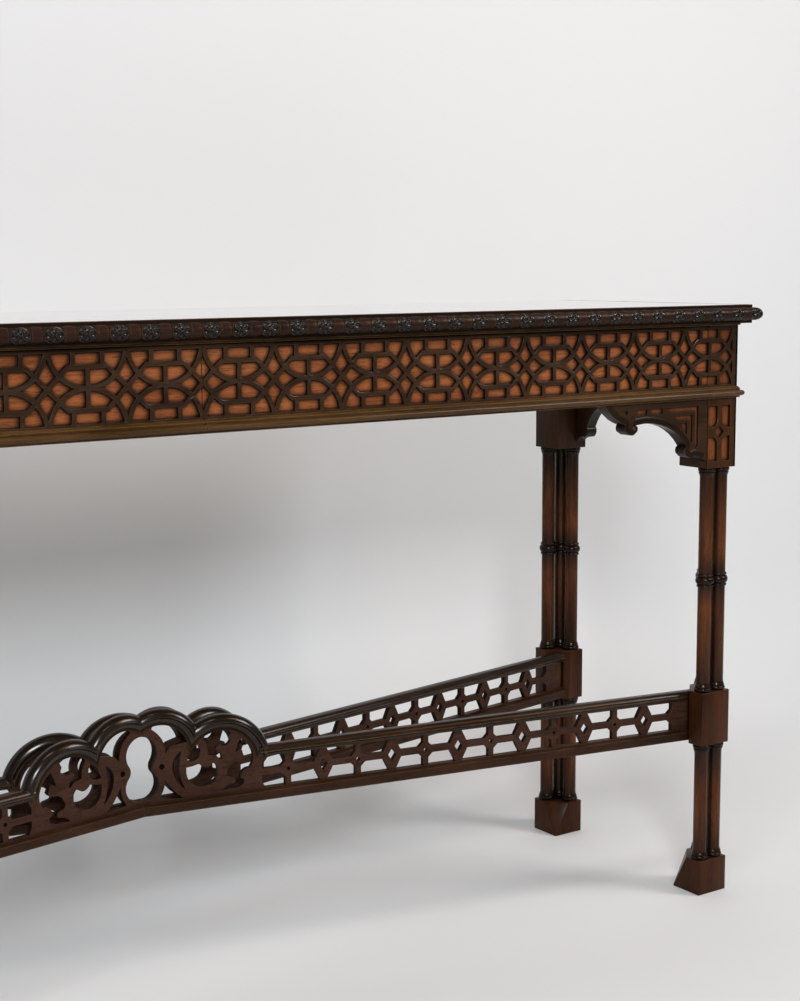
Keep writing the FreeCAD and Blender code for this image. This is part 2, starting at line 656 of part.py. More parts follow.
def running_fret(length, thickness):
    """The openings of the running fret, from the large ring to the leg."""
    z = Z_STRETCHER
    solid_end = length - STRETCHER_SOLID_END
    last_diamond = solid_end - LAST_BAY
    first_rosette = CREST_RING_U + RING_BAY
    steps = 2 * round(((last_diamond - first_rosette) / MOTIF_PITCH - 1) / 2.0) + 1
    pitch = (last_diamond - first_rosette) / steps
    cuts = []
    for step in range(1, steps + 1, 2):
        u = first_rosette + step * pitch
        cuts.append(slab(outline_wire([
            (u - DIAMOND_HALF_WIDTH, z),
            (u, z + DIAMOND_HALF_HEIGHT),
            (u + DIAMOND_HALF_WIDTH, z),
            (u, z - DIAMOND_HALF_HEIGHT),
        ]), thickness))
        following = u + pitch if step < steps else solid_end + ROSETTE_BAR_HALF
        for z_side in (1, -1):
            cuts.append(slab(fret_opening(u, u - pitch, z_side), thickness))
            cuts.append(slab(fret_opening(u, following, z_side), thickness))
    ring_side = CREST_RING_U + RING_BAY_START
    for z_side in (1, -1):
        edge = z + z_side * (STRETCHER_HALF_HEIGHT - STRETCHER_RAIL)
        bar = z + z_side * MIDBAR_HALF
        cuts.append(slab(outline_wire([
            (ring_side + RING_BAY_CORNER[0], edge),
            (first_rosette - ROSETTE_BAR_HALF, edge),
            (first_rosette - ROSETTE_BAR_HALF, z + z_side * ROSETTE_HALF_HEIGHT),
            (first_rosette - ROSETTE_HALF_HEIGHT, bar),
            (ring_side, bar),
            (ring_side, edge - z_side * RING_BAY_CORNER[1]),
        ]), thickness))
    return cuts


def make_arm():
    """One arm of the X, built along U from the table's middle to the leg, then laid in place."""
    half = BLOCK_SIDE / 2.0
    leg_end = (POST_X - half / 2.0, POST_Y + half / 2.0)
    length = math.hypot(leg_end[0], leg_end[1] - Y_MIDDLE)
    angle = math.degrees(math.atan2(leg_end[1] - Y_MIDDLE, leg_end[0]))
    z = Z_STRETCHER
    rail_top = z + STRETCHER_HALF_HEIGHT
    low_rail_top = z - STRETCHER_HALF_HEIGHT + STRETCHER_RAIL
    u_low = -STRETCHER_THICKNESS
    u_high = length + STRETCHER_THICKNESS
    ring = (CREST_RING_U, z + CREST_RING_RISE)
    arch = (CREST_ARCH_U, z + CREST_ARCH_RISE)
    sunk = STRETCHER_RAIL / 3.0

    panel = box((u_low, -STRETCHER_PANEL / 2.0, low_rail_top - sunk),
                (u_high, STRETCHER_PANEL / 2.0, rail_top - STRETCHER_RAIL + sunk))
    for centre, radius in ((ring, CREST_RING_RADIUS), (arch, CREST_ARCH_RADIUS)):
        panel = panel.fuse(disc(centre, radius - STRETCHER_RAIL + sunk, STRETCHER_PANEL))
    panel = panel.common(box((u_low, -STRETCHER_PANEL, low_rail_top - sunk),
                             (u_high, STRETCHER_PANEL, TABLE_HEIGHT)))
    reach = 2 * STRETCHER_PANEL
    panel = panel.cut(Part.makeCompound(crest_openings(reach) + running_fret(length, reach)))

    ring_start = math.degrees(math.asin((STRETCHER_HALF_HEIGHT - CREST_RING_RISE - STRETCHER_RAIL)
                                        / (CREST_RING_RADIUS - STRETCHER_RAIL)))
    ring_foot = CREST_RING_U + (CREST_RING_RADIUS - STRETCHER_RAIL) * math.cos(math.radians(ring_start))
    arm = panel.fuse([
        straight_rail(u_low, u_high, low_rail_top - STRETCHER_RAIL),
        straight_rail(ring_foot, u_high, rail_top - STRETCHER_RAIL),
        arched_rail(ring, CREST_RING_RADIUS, ring_start, CREST_RING_END),
        arched_rail(arch, CREST_ARCH_RADIUS, CREST_ARCH_START, CREST_ARCH_END),
    ])
    arm = arm.removeSplitter()
    arm.rotate(Vec(0, 0, 0), Vec(0, 0, 1), angle)
    arm.translate(Vec(0, Y_MIDDLE, 0))
    return trim_arm(arm, leg_end, angle)


def trim_arm(arm, leg_end, angle):
    """Mitre the arm at the table's middle, fit it to the leg's chamfer and give it a tenon."""
    back = STRETCHER_THICKNESS
    plan = [(0, Y_MIDDLE), (0, Y_FRONT - back)]
    run = leg_end[1] - (Y_FRONT - back)
    plan += [(leg_end[0] - run, Y_FRONT - back), (leg_end[0], leg_end[1])]
    rise = Y_MIDDLE - leg_end[1]
    plan += [(leg_end[0] + rise, Y_MIDDLE)]
    arm = arm.common(plan_prism(plan, 0, TABLE_HEIGHT))
    low = (-back, -STRETCHER_PANEL / 2.0, Z_STRETCHER - STRETCHER_HALF_HEIGHT + STRETCHER_RAIL)
    high = (STRETCHER_TENON, STRETCHER_PANEL / 2.0, Z_STRETCHER + STRETCHER_HALF_HEIGHT - STRETCHER_RAIL)
    tenon = box(low, high)
    tenon.rotate(Vec(0, 0, 0), Vec(0, 0, 1), angle)
    tenon.translate(Vec(leg_end[0], leg_end[1], 0))
    return arm.fuse(tenon), tenon


# ---------------------------------------------------------------- drawers
def dovetails(x_low, x_high, y_front, y_back, z_low, z_high):
    """The tails on the front end of one drawer side, which also shape the sockets they fill."""
    spacing = (z_high - z_low) / DOVETAIL_COUNT
    flare = DOVETAIL_SLOPE * (y_back - y_front)
    tails = []
    for index in range(DOVETAIL_COUNT):
        middle = z_low + (index + 0.5) * spacing
        root = DOVETAIL_ROOT * spacing / 2.0
        points = [(y_back, middle - root), (y_back, middle + root),
                  (y_front, middle + root + flare), (y_front, middle - root - flare)]
        corners = [Vec(x_low, y, z) for y, z in points]
        tails.append(Part.Face(Part.makePolygon(corners + corners[:1])).extrude(Vec(x_high - x_low, 0, 0)))
    return tails


def make_drawer():
    """The right drawer: front, moulding, two sides, back and bottom."""
    x_low = DRAWER_GAP / 2.0
    x_high = X_IN - DRAWER_GAP
    y_inner = Y_FRONT + DRAWER_FRONT_THICKNESS
    y_tail = Y_FRONT + DOVETAIL_LAP
    y_end = Y_BACK_RAIL - DRAWER_BACK_GAP
    z_low = Z_BEARER_TOP + DRAWER_GAP / 2.0
    z_high = Z_TOP_RAIL_BOTTOM - DRAWER_GAP
    z_bottom = z_low + DRAWER_BOTTOM_RAISE
    z_floor = z_bottom + DRAWER_BOTTOM_THICKNESS
    x_inner = PARTITION_THICKNESS / 2.0 + DRAWER_GAP
    side_spans = [(x_inner, x_inner + DRAWER_SIDE_THICKNESS), (x_high - DRAWER_SIDE_THICKNESS, x_high)]
    clear_low = side_spans[0][1]
    clear_high = side_spans[1][0]

    front = box((x_low, Y_FRONT, Z_FRIEZE_BOTTOM), (x_high, y_inner, Z_FRONT_TOP))
    bottom = box((clear_low - GROOVE_DEPTH, y_inner - GROOVE_DEPTH, z_bottom),
                 (clear_high + GROOVE_DEPTH, y_end, z_floor))
    back = box((clear_low, y_end - DRAWER_BACK_THICKNESS, z_floor), (clear_high, y_end, z_high))
    sides = []
    for low, high in side_spans:
        tails = dovetails(low, high, y_tail, y_inner, z_low, z_high)
        front = front.cut(tails)
        side = box((low, y_inner, z_low), (high, y_end, z_high)).fuse(tails).cut(bottom)
        sides.append(side.removeSplitter())
    front = front.cut(bottom)

    profile = Part.Face(frieze_moulding_profile())
    profile.rotate(Vec(0, 0, 0), Vec(0, 0, 1), -90)
    profile.translate(Vec(x_low, Y_FRONT, 0))
    return {
        "front": front,
        "moulding": profile.extrude(Vec(x_high - x_low, 0, 0)),
        "side_inner": sides[0],
        "side_outer": sides[1],
        "back": back,
        "bottom": bottom,
    }


# ---------------------------------------------------------------- assembly
def make_legs(tenons, arm_tenon):
    """The four legs, with the posts mortised for the rails and the blocks for the stretcher."""
    post = box((X_IN, Y_FRONT, Z_POST_BOTTOM), (X_OUT, Y_FRONT + POST_SIDE, Z_UNDER_TOP))
    rear_post = mirror_y(post).cut(tenons)
    post = post.cut(tenons)
    nodes = {
        "post_front_right": post,
        "post_front_left": mirror_x(post),
        "post_rear_right": rear_post,
        "post_rear_left": mirror_x(rear_post),
    }
    nodes.update(to_four_corners(make_columns(), "columns"))
    nodes.update(to_four_corners(make_stretcher_block().cut(arm_tenon), "stretcher_block"))
    nodes.update(to_four_corners(make_foot(), "foot"))
    return nodes


def main():
    """Build every piece and write it out."""
    nodes = make_top()
    rails, tenons = make_rails()
    nodes.update(rails)
    nodes.update(make_frieze_mouldings())
    nodes.update(make_drawer_carriers())
    arm, arm_tenon = make_arm()
    nodes.update(to_four_corners(arm, "stretcher"))
    nodes.update(make_legs(tenons, arm_tenon))
    nodes.update(make_brackets())
    for name, piece in make_drawer().items():
        nodes["drawer_right_" + name] = piece
        nodes["drawer_left_" + name] = mirror_x(piece)
    os.makedirs("parts", exist_ok=True)
    for name, shape in nodes.items():
        shape.exportStep(os.path.join("parts", name + ".step"))


main()
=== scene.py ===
"""Finish and fine carving of a pier table in the Chinese taste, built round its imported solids.

Sizes are written in millimetres, in the table's own frame: +X to the right, -Y to the front, +Z up.
MM turns them to metres where a mesh or a shader needs them.
"""

import logging
import math
from collections.abc import Iterable, Sequence
from dataclasses import dataclass, field
from enum import Enum
from typing import Any

import bmesh
import bpy
from mathutils import Matrix, Vector
from mathutils.geometry import delaunay_2d_cdt

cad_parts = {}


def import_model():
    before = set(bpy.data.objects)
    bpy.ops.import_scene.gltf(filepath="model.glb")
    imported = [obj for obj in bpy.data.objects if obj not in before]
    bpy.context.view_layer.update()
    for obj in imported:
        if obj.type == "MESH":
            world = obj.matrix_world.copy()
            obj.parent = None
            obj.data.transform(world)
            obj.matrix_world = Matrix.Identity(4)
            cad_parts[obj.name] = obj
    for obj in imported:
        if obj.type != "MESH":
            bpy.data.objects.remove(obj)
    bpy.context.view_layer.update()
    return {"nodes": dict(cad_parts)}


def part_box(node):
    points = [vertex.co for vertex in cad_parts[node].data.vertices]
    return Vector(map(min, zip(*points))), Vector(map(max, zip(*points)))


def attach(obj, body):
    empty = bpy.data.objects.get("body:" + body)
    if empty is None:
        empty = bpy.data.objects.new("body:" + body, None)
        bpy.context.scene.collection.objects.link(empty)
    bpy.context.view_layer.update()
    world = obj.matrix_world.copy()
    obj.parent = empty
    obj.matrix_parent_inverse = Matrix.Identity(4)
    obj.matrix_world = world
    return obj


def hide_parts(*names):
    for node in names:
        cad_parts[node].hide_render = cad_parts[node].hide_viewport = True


LOG = logging.getLogger("pier_table")
MM = 0.001
ARC_STEP = 9.0                          # degrees between the points of a round stretch
WELD = 2e-6                             # metres, for joining coincident corners
SNAP = 1e-4                             # millimetres, for joining the corners of a drawing
SMOOTH_ANGLE = math.radians(38.0)       # sharper edges stay sharp in the shading
FLAT_ANGLE = math.radians(0.5)          # faces that lean less than this are one flat
ROUNDED_ANGLE = math.radians(25.0)      # sharper edges of a solid are rounded over
CUT_ANGLE = math.radians(60.0)          # sharper edges of a board are its cut ones
TURNED_FLATS = 28                       # faces round a turned piece
SIDES = ((1, "right"), (-1, "left"))
QUARTER_TURN = Matrix.Rotation(math.radians(90.0), 4, "Z")

Point = tuple[float, float]
Outline = list[Any]             # a start point, then end points or (through, end) pairs for arcs


# ---------------------------------------------------------------- shader helpers
def linear(hex_colour: str) -> tuple[float, float, float, float]:
    """Turn an sRGB hex colour into the linear colour that a shader socket takes.

    Args:
        hex_colour: six hex digits, with or without a leading hash.

    Returns:
        Linear red, green and blue, and an alpha of 1.
    """
    digits = hex_colour.lstrip("#")
    parts = [int(digits[start:start + 2], 16) / 255.0 for start in (0, 2, 4)]
    red, green, blue = (part / 12.92 if part <= 0.04045 else ((part + 0.055) / 1.055) ** 2.4
                        for part in parts)
    return red, green, blue, 1.0


def add_node(tree: bpy.types.NodeTree, kind: str, settings: dict[str, Any] | None = None,
             links: dict[Any, Any] | None = None) -> bpy.types.Node:
    """Add a node with its settings and links.

    Args:
        tree: the shader or geometry tree.
        kind: the node's type name.
        settings: values by input name, or by property name after a dot.
        links: output sockets by input name or number.

    Returns:
        The new node.
    """
    node = tree.nodes.new(kind)
    for name, value in (settings or {}).items():
        if name.startswith("."):
            setattr(node, name[1:], value)
        else:
            node.inputs[name].default_value = value
    for name, socket in (links or {}).items():
        tree.links.new(socket, node.inputs[name])
    return node


# ---------------------------------------------------------------- finishes
class Grain(Enum):
    """The way a board's fibres run."""

    ALONG_X = (1, 0, 0)
    ALONG_Z = (0, 0, 1)


@dataclass(frozen=True)
class Mahogany:
    """Mahogany under old polish: ribbon figure, short dark pores, dirt and painted shade in the hollows,
    rubbed arrises with a painted highlight.

    Its widths and reaches are in millimetres. A range names the noise values between which a mark grows,
    and a share how much of it shows at most.
    """

    FIGURE_RANGE = (0.35, 0.65)
    STREAK_RANGE = (0.48, 0.72)
    STREAK_SHARE = 0.45
    PORE_RANGE = (0.58, 0.66)
    PORE_SHARE = 0.5
    WEAR_PATCH = 9.0             # one patch of wear along an arris
    WEAR_RANGE = (0.38, 0.62)
    WEAR_LEAST = 0.3             # wear and painted highlight between the patches
    PROUD_RANGE = (0.8, 0.96)    # share of open air from which hands reach an arris
    BEND_RANGE = (0.985, 0.88)   # cosine between the flat and the rounded face, from flat to arris
    DULL_RANGE = (0.3, 0.7)
    DULL_SHARES = (0.85, 1.2)    # the figure's roughness, from smooth to open grain
    RELIEF_DEPTH = 0.15
    RELIEF_STRENGTH = 0.35
    SAMPLES = 6                  # rays for the hollows and the arrises

    name: str
    heart: str
    figure: str
    # dark of the pores and streaks, and of the dirt and painted shade in the hollows
    hollow: str = "#120a06"
    # colour of the rubbed arrises, which also stands for a painted highlight
    arris: str = "#7a5226"
    grain: Grain = Grain.ALONG_X
    roughness: float = 0.36
    ior: float = 1.22            # old oil polish, sunk into the wood, shines far less than fresh varnish
    coat: float = 0.16
    coat_roughness: float = 0.16
    hollow_reach: float = 5.0    # how far a hollow's dirt and painted shade spread
    hollow_start: float = 0.86   # share of open air where the dirt and painted shade begin
    hollow_full: float = 0.35    # and where it is deepest
    hollow_depth: float = 0.85   # 1 is black in the deepest hollow
    rubbed_and_highlit: float = 0.5          # 1 is bare wood, with its painted highlight, on each arris
    arris_reach: float = 1.0
    figure_width: float = 34.0   # one ribbon of figure
    streak_width: float = 4.0
    pore_width: float = 0.9      # real pores are 0.2 mm, drawn coarser so that they show

    def pattern(self, tree: bpy.types.NodeTree, across: float, stretch: float, detail: float,
                distortion: float) -> bpy.types.NodeSocket:
        """Add a noise drawn out along the grain.

        Args:
            tree: the material's tree.
            across: the pattern's real width in millimetres.
            stretch: how many times longer it is along the grain.
            detail: octaves of finer noise.
            distortion: how far it wanders.

        Returns:
            The noise's value socket.
        """
        scale = 1.0 / (across * MM)
        scales = tuple(scale / stretch if axis else scale for axis in self.grain.value)
        place = add_node(tree, "ShaderNodeTexCoord").outputs["Object"]
        drawn_out = add_node(tree, "ShaderNodeMapping", {"Scale": scales}, {"Vector": place})
        return add_node(tree, "ShaderNodeTexNoise",
                        {"Scale": 1.0, "Detail": detail, "Distortion": distortion},
                        {"Vector": drawn_out.outputs["Vector"]}).outputs["Fac"]

    @staticmethod
    def ramp(tree: bpy.types.NodeTree, value: bpy.types.NodeSocket, given: Point,
             result: Point = (0.0, 1.0)) -> bpy.types.NodeSocket:
        """Map the given range of a value onto the result's two ends, and clamp it."""
        limits = zip(("From Min", "From Max", "To Min", "To Max"), (*given, *result))
        return add_node(tree, "ShaderNodeMapRange", dict(limits), {"Value": value}).outputs["Result"]

    @staticmethod
    def mixed(tree: bpy.types.NodeTree, share: bpy.types.NodeSocket, base: Any,
              over: str) -> bpy.types.NodeSocket:
        """Lay one colour over another.

        Args:
            tree: the material's tree.
            share: how much of the upper colour shows.
            base: a colour socket, or a hex colour.
            over: the upper colour, in hex.

        Returns:
            The mixed colour socket.
        """
        share_input, base_input, over_input, colour_output = 0, 6, 7, 2
        node = add_node(tree, "ShaderNodeMix", {".data_type": "RGBA"}, {share_input: share})
        node.inputs[over_input].default_value = linear(over)
        if isinstance(base, str):
            node.inputs[base_input].default_value = linear(base)
        else:
            tree.links.new(base, node.inputs[base_input])
        return node.outputs[colour_output]

    @staticmethod
    def times(tree: bpy.types.NodeTree, first: bpy.types.NodeSocket, second: Any) -> bpy.types.NodeSocket:
        """Multiply two values.

        Args:
            tree: the material's tree.
            first: a value socket.
            second: a value socket or a number.

        Returns:
            The product's socket.
        """
        node = add_node(tree, "ShaderNodeMath", {".operation": "MULTIPLY"}, {0: first})
        if isinstance(second, float):
            node.inputs[1].default_value = second
        else:
            tree.links.new(second, node.inputs[1])
        return node.outputs[0]

    def worn_and_highlit(self, tree: bpy.types.NodeTree, open_air: bpy.types.NodeSocket,
             rounded: bpy.types.NodeSocket) -> bpy.types.NodeSocket:
        """Find the arrises that hands have rubbed, which also carry a painted highlight.

        Args:
            tree: the material's tree.
            open_air: the share of open air round each place.
            rounded: the face's direction with its edges rounded.

        Returns:
            How much of the bare arris and of its painted highlight shows.
        """
        flat = add_node(tree, "ShaderNodeNewGeometry").outputs["Normal"]
        bend = add_node(tree, "ShaderNodeVectorMath", {".operation": "DOT_PRODUCT"},
                        {0: rounded, 1: flat}).outputs["Value"]
        patch = self.pattern(tree, self.WEAR_PATCH, stretch=3.0, detail=2.0, distortion=0.4)
        wear_and_highlight = self.times(tree, self.ramp(tree, bend, self.BEND_RANGE),
                          self.ramp(tree, open_air, self.PROUD_RANGE))
        wear_and_highlight = self.times(tree, wear_and_highlight, self.ramp(tree, patch, self.WEAR_RANGE, (self.WEAR_LEAST, 1.0)))
        return self.times(tree, wear_and_highlight, self.rubbed_and_highlit)

    def build(self) -> bpy.types.Material:
        """Make the material.

        Returns:
            The finished material.
        """
        material = bpy.data.materials.new(self.name)
        material.use_nodes = True
        tree = material.node_tree
        tree.nodes.clear()
        figure = self.pattern(tree, self.figure_width, stretch=7.0, detail=2.0, distortion=0.6)
        streak = self.pattern(tree, self.streak_width, stretch=22.0, detail=3.0, distortion=0.3)
        pore = self.pattern(tree, self.pore_width, stretch=14.0, detail=1.0, distortion=0.0)
        open_air = add_node(tree, "ShaderNodeAmbientOcclusion",
                            {".samples": self.SAMPLES, "Distance": self.hollow_reach * MM}).outputs["AO"]
        rounded = add_node(tree, "ShaderNodeBevel",
                           {".samples": self.SAMPLES, "Radius": self.arris_reach * MM}).outputs["Normal"]
        dirtied_and_shaded = add_node(tree, "ShaderNodeAttribute", {".attribute_name": "age"}).outputs["Fac"]

        # the hollows darken towards the hollow colour: dirt and painted shade
        hollow_dirt_and_shade = self.ramp(tree, open_air, (self.hollow_start, self.hollow_full), (0.0, self.hollow_depth))
        marks = (self.ramp(tree, streak, self.STREAK_RANGE, (0.0, self.STREAK_SHARE)),
                 self.ramp(tree, pore, self.PORE_RANGE, (0.0, self.PORE_SHARE)), hollow_dirt_and_shade)
        colour = self.mixed(tree, self.ramp(tree, figure, self.FIGURE_RANGE), self.heart, self.figure)
        for share in marks:
            colour = self.mixed(tree, share, colour, self.hollow)
        # the arrises lighten: rubbed wear and a painted highlight
        colour = self.mixed(tree, self.worn_and_highlit(tree, open_air, rounded), colour, self.arris)
        # the darkening attribute: dirt and painted shade on sawn walls, and at the columns' rings and blocks
        colour = self.mixed(tree, dirtied_and_shaded, colour, self.hollow)

        relief = add_node(tree, "ShaderNodeBump",
                          {"Strength": self.RELIEF_STRENGTH, "Distance": self.RELIEF_DEPTH * MM},
                          {"Height": streak, "Normal": rounded}).outputs["Normal"]
        smooth, open_grain = (self.roughness * share for share in self.DULL_SHARES)
        dull = self.ramp(tree, figure, self.DULL_RANGE, (smooth, open_grain))
        shader = add_node(tree, "ShaderNodeBsdfPrincipled",
                          {"IOR": self.ior, "Coat Weight": self.coat, "Coat Roughness": self.coat_roughness},
                          {"Base Color": colour, "Roughness": dull, "Normal": relief})
        add_node(tree, "ShaderNodeOutputMaterial", {}, {"Surface": shader.outputs[0]})
        return material


class Finish(Enum):
    """The table's finishes."""

    # scraped flat, polished and waxed: a deep shine that mirrors the room over a warm figure
    TOP = Mahogany("polished_mahogany_top", "#4a2210", "#6a3318", roughness=0.12, ior=1.5, coat=1.0,
                   coat_roughness=0.04, hollow_reach=2.0, figure_width=60.0, rubbed_and_highlit=0.2)
    # carved, stained and left dull: nearly black, blackest with dirt and painted shade in its quirks, brown
    # where it is rubbed and given a painted highlight
    TORUS = Mahogany("carved_torus_mahogany", "#1a1009", "#27180e", arris="#8a6532", hollow_reach=4.0,
                     hollow_depth=0.95, rubbed_and_highlit=0.8, roughness=0.4, ior=1.15, coat=0.05)
    # carved in high relief, blackened and polished by dusting: small sharp glints on black petals
    CARVING = Mahogany("blackened_carved_mahogany", "#100c09", "#19120d", arris="#6b5030", hollow_reach=3.0,
                       hollow_depth=0.9, rubbed_and_highlit=0.25, arris_reach=0.6, roughness=0.2, ior=1.2, coat=0.4,
                       coat_roughness=0.07)
    # scraped smooth between the carvings: a dull brown with worn edges that carry a painted highlight
    BAND = Mahogany("rubbed_highlit_band_mahogany", "#24140e", "#301c13", arris="#7a5a34", hollow_reach=3.5,
                    hollow_depth=0.95, rubbed_and_highlit=0.4, roughness=0.4, ior=1.16, coat=0.06)
    # planed mouldings, worn by hands and cloths: olive brown with golden arrises, part wear and part painted
    # highlight
    EDGE = Mahogany("worn_highlit_moulding_mahogany", "#3f2a12", "#52391d", arris="#a37b3c", hollow_reach=5.0,
                    rubbed_and_highlit=0.9, arris_reach=1.2, roughness=0.32, ior=1.2, coat=0.12)
    # sawn, glued on and polished in place: flat dark bars with a low shine and lighter arrises, part wear and
    # part painted highlight
    FRET = Mahogany("fretwork_mahogany", "#291a0d", "#3b2614", arris="#80592c", hollow_reach=2.5,
                    hollow_depth=0.6, rubbed_and_highlit=0.45, arris_reach=0.7, roughness=0.38)
    # planed and left unstained behind the fret: warm red brown that falls to black at the bars, as dirt and
    # painted shade
    GROUND = Mahogany("fret_ground_mahogany", "#93522d", "#a26036", hollow_reach=10.0, hollow_start=0.95,
                      hollow_full=0.58, hollow_depth=0.97, rubbed_and_highlit=0.0, roughness=0.45, coat=0.05)
    # cut down with chisels: the ground's brown darkened as painted shade, upright in its grain, and quite
    # matt
    SUNK = Mahogany("shaded_sunk_panel_mahogany", "#6a3a1b", "#794422", grain=Grain.ALONG_Z, hollow_reach=9.0,
                    hollow_start=0.95, hollow_full=0.55, hollow_depth=0.97, rubbed_and_highlit=0.0, roughness=0.45,
                    coat=0.05)
    # planed and oiled: dark brown, upright grain and a soft low shine
    POST = Mahogany("post_mahogany", "#2d190b", "#3f2512", grain=Grain.ALONG_Z, arris="#85602f", rubbed_and_highlit=0.5,
                    ior=1.18, coat=0.1)
    # planed, oiled and knocked by feet: plain dark faces between lighter edges, worn and given a painted
    # highlight
    BLOCK = Mahogany("squared_block_mahogany", "#32190a", "#452511", grain=Grain.ALONG_Z, arris="#7a5228",
                     rubbed_and_highlit=0.6, roughness=0.3, ior=1.17, coat=0.08)
    # burnished on the lathe: one long thin highlight, red brown in the middle and black with dirt and painted
    # shade at the rings and blocks
    SHAFT = Mahogany("turned_mahogany", "#46230e", "#643718", grain=Grain.ALONG_Z, hollow_reach=12.0,
                     hollow_start=0.95, hollow_depth=0.97, rubbed_and_highlit=0.1, roughness=0.26, ior=1.2, coat=0.16,
                     figure_width=16.0)
    # sawn and filed, hardly polished: grey brown with almost no shine
    PIERCED = Mahogany("pierced_mahogany", "#3a261d", "#452f25", hollow_reach=6.0, rubbed_and_highlit=0.3, roughness=0.45,
                       ior=1.14, coat=0.0)
    # carved round and burnished: a black roll with one broad highlight over its crown
    ARCH = Mahogany("crest_arch_mahogany", "#18100a", "#231810", arris="#6b5230", hollow_reach=5.0,
                    hollow_depth=0.95, rubbed_and_highlit=0.4, roughness=0.24, ior=1.28, coat=0.36, coat_roughness=0.15)
    # moulded with a plane and waxed: dark, with a thin bright line along each arris, part wear and part
    # painted highlight
    RAIL = Mahogany("stretcher_rail_mahogany", "#21150d", "#301f15", arris="#a08048", hollow_reach=4.0,
                    rubbed_and_highlit=0.65, roughness=0.26, ior=1.24, coat=0.22)
    # planed and seldom touched: duller brown with faint worn edges that carry a painted highlight
    PLINTH = Mahogany("lower_rail_mahogany", "#2b1a10", "#392418", arris="#a08048", hollow_reach=4.0,
                      rubbed_and_highlit=0.35, roughness=0.36, ior=1.16, coat=0.05)


@dataclass(frozen=True)
class LiningOak:
    """Planed oak of the drawer linings and hidden rails: pale, dry and unpolished, with open pores."""

    name: str = "drawer_lining_oak"
    heart: str = "#8a6a45"
    figure: str = "#a5855c"
    hollow: str = "#4d3822"

    def build(self) -> bpy.types.Material:
        """Make the material from the same wood pattern, dull and without polish.

        Returns:
            The finished material.
        """
        return Mahogany(self.name, self.heart, self.figure, hollow=self.hollow, arris=self.figure,
                        roughness=0.7, coat=0.0, hollow_reach=6.0, hollow_depth=0.5, rubbed_and_highlit=0.1,
                        figure_width=26.0).build()


# ---------------------------------------------------------------- drawing
def arc_points(start: Point, through: Point, end: Point) -> list[Point]:
    """Points of the arc from start, through a second point, to end, without the start.

    Args:
        start: where the arc begins.
        through: a point that it passes.
        end: where it stops.

    Returns:
        The points after the start.
    """
    ax, ay = through[0] - start[0], through[1] - start[1]
    bx, by = end[0] - start[0], end[1] - start[1]
    cross = 2.0 * (ax * by - ay * bx)
    if abs(cross) < 1e-9:
        return [through, end]
    first, last = ax * ax + ay * ay, bx * bx + by * by
    centre = (start[0] + (by * first - ay * last) / cross, start[1] + (ax * last - bx * first) / cross)
    radius = math.dist(centre, start)
    begin = math.atan2(start[1] - centre[1], start[0] - centre[0])
    sweep = (math.atan2(end[1] - centre[1], end[0] - centre[0]) - begin) % (2.0 * math.pi)
    if cross < 0.0:
        sweep -= 2.0 * math.pi
    count = max(2, math.ceil(abs(math.degrees(sweep)) / ARC_STEP))
    turns = (begin + sweep * step / count for step in range(1, count + 1))
    return [(centre[0] + radius * math.cos(turn), centre[1] + radius * math.sin(turn)) for turn in turns]


def drawn(outline: Outline) -> list[Point]:
    """Points of an outline of straight and round stretches.

    Args:
        outline: a start point, then end points or (through, end) pairs.

    Returns:
        The points in order.
    """
    points = [outline[0]]
    for move in outline[1:]:
        if isinstance(move[0], tuple):
            points += arc_points(points[-1], *move)
        else:
            points.append(move)
    return points


def circle(centre: Point, radius: float, steps: int) -> list[Point]:
    """Points in order round a circle."""
    turns = (2.0 * math.pi * step / steps for step in range(steps))
    return [(centre[0] + radius * math.cos(turn), centre[1] + radius * math.sin(turn)) for turn in turns]


def holds(loop: Sequence[Point], x: float, y: float) -> bool:
    """Whether a closed loop goes round a point.

    Args:
        loop: the loop's corners.
        x: the point's first coordinate.
        y: the point's second coordinate.

    Returns:
        True where the point is inside.
    """
    inside = False
    for (x1, y1), (x2, y2) in zip(loop, [*loop[1:], loop[0]]):
        if (y1 > y) != (y2 > y) and x < (x2 - x1) * (y - y1) / (y2 - y1) + x1:
            inside = not inside
    return inside


def left_of(points: Sequence[Point], index: int) -> Point:
    """Find the direction to the left of a line at one of its points.

    Args:
        points: the line.
        index: the point's number.

    Returns:
        A direction of length 1.
    """
    before, after = points[max(index - 1, 0)], points[min(index + 1, len(points) - 1)]
    length = math.dist(before, after)
    return -(after[1] - before[1]) / length, (after[0] - before[0]) / length


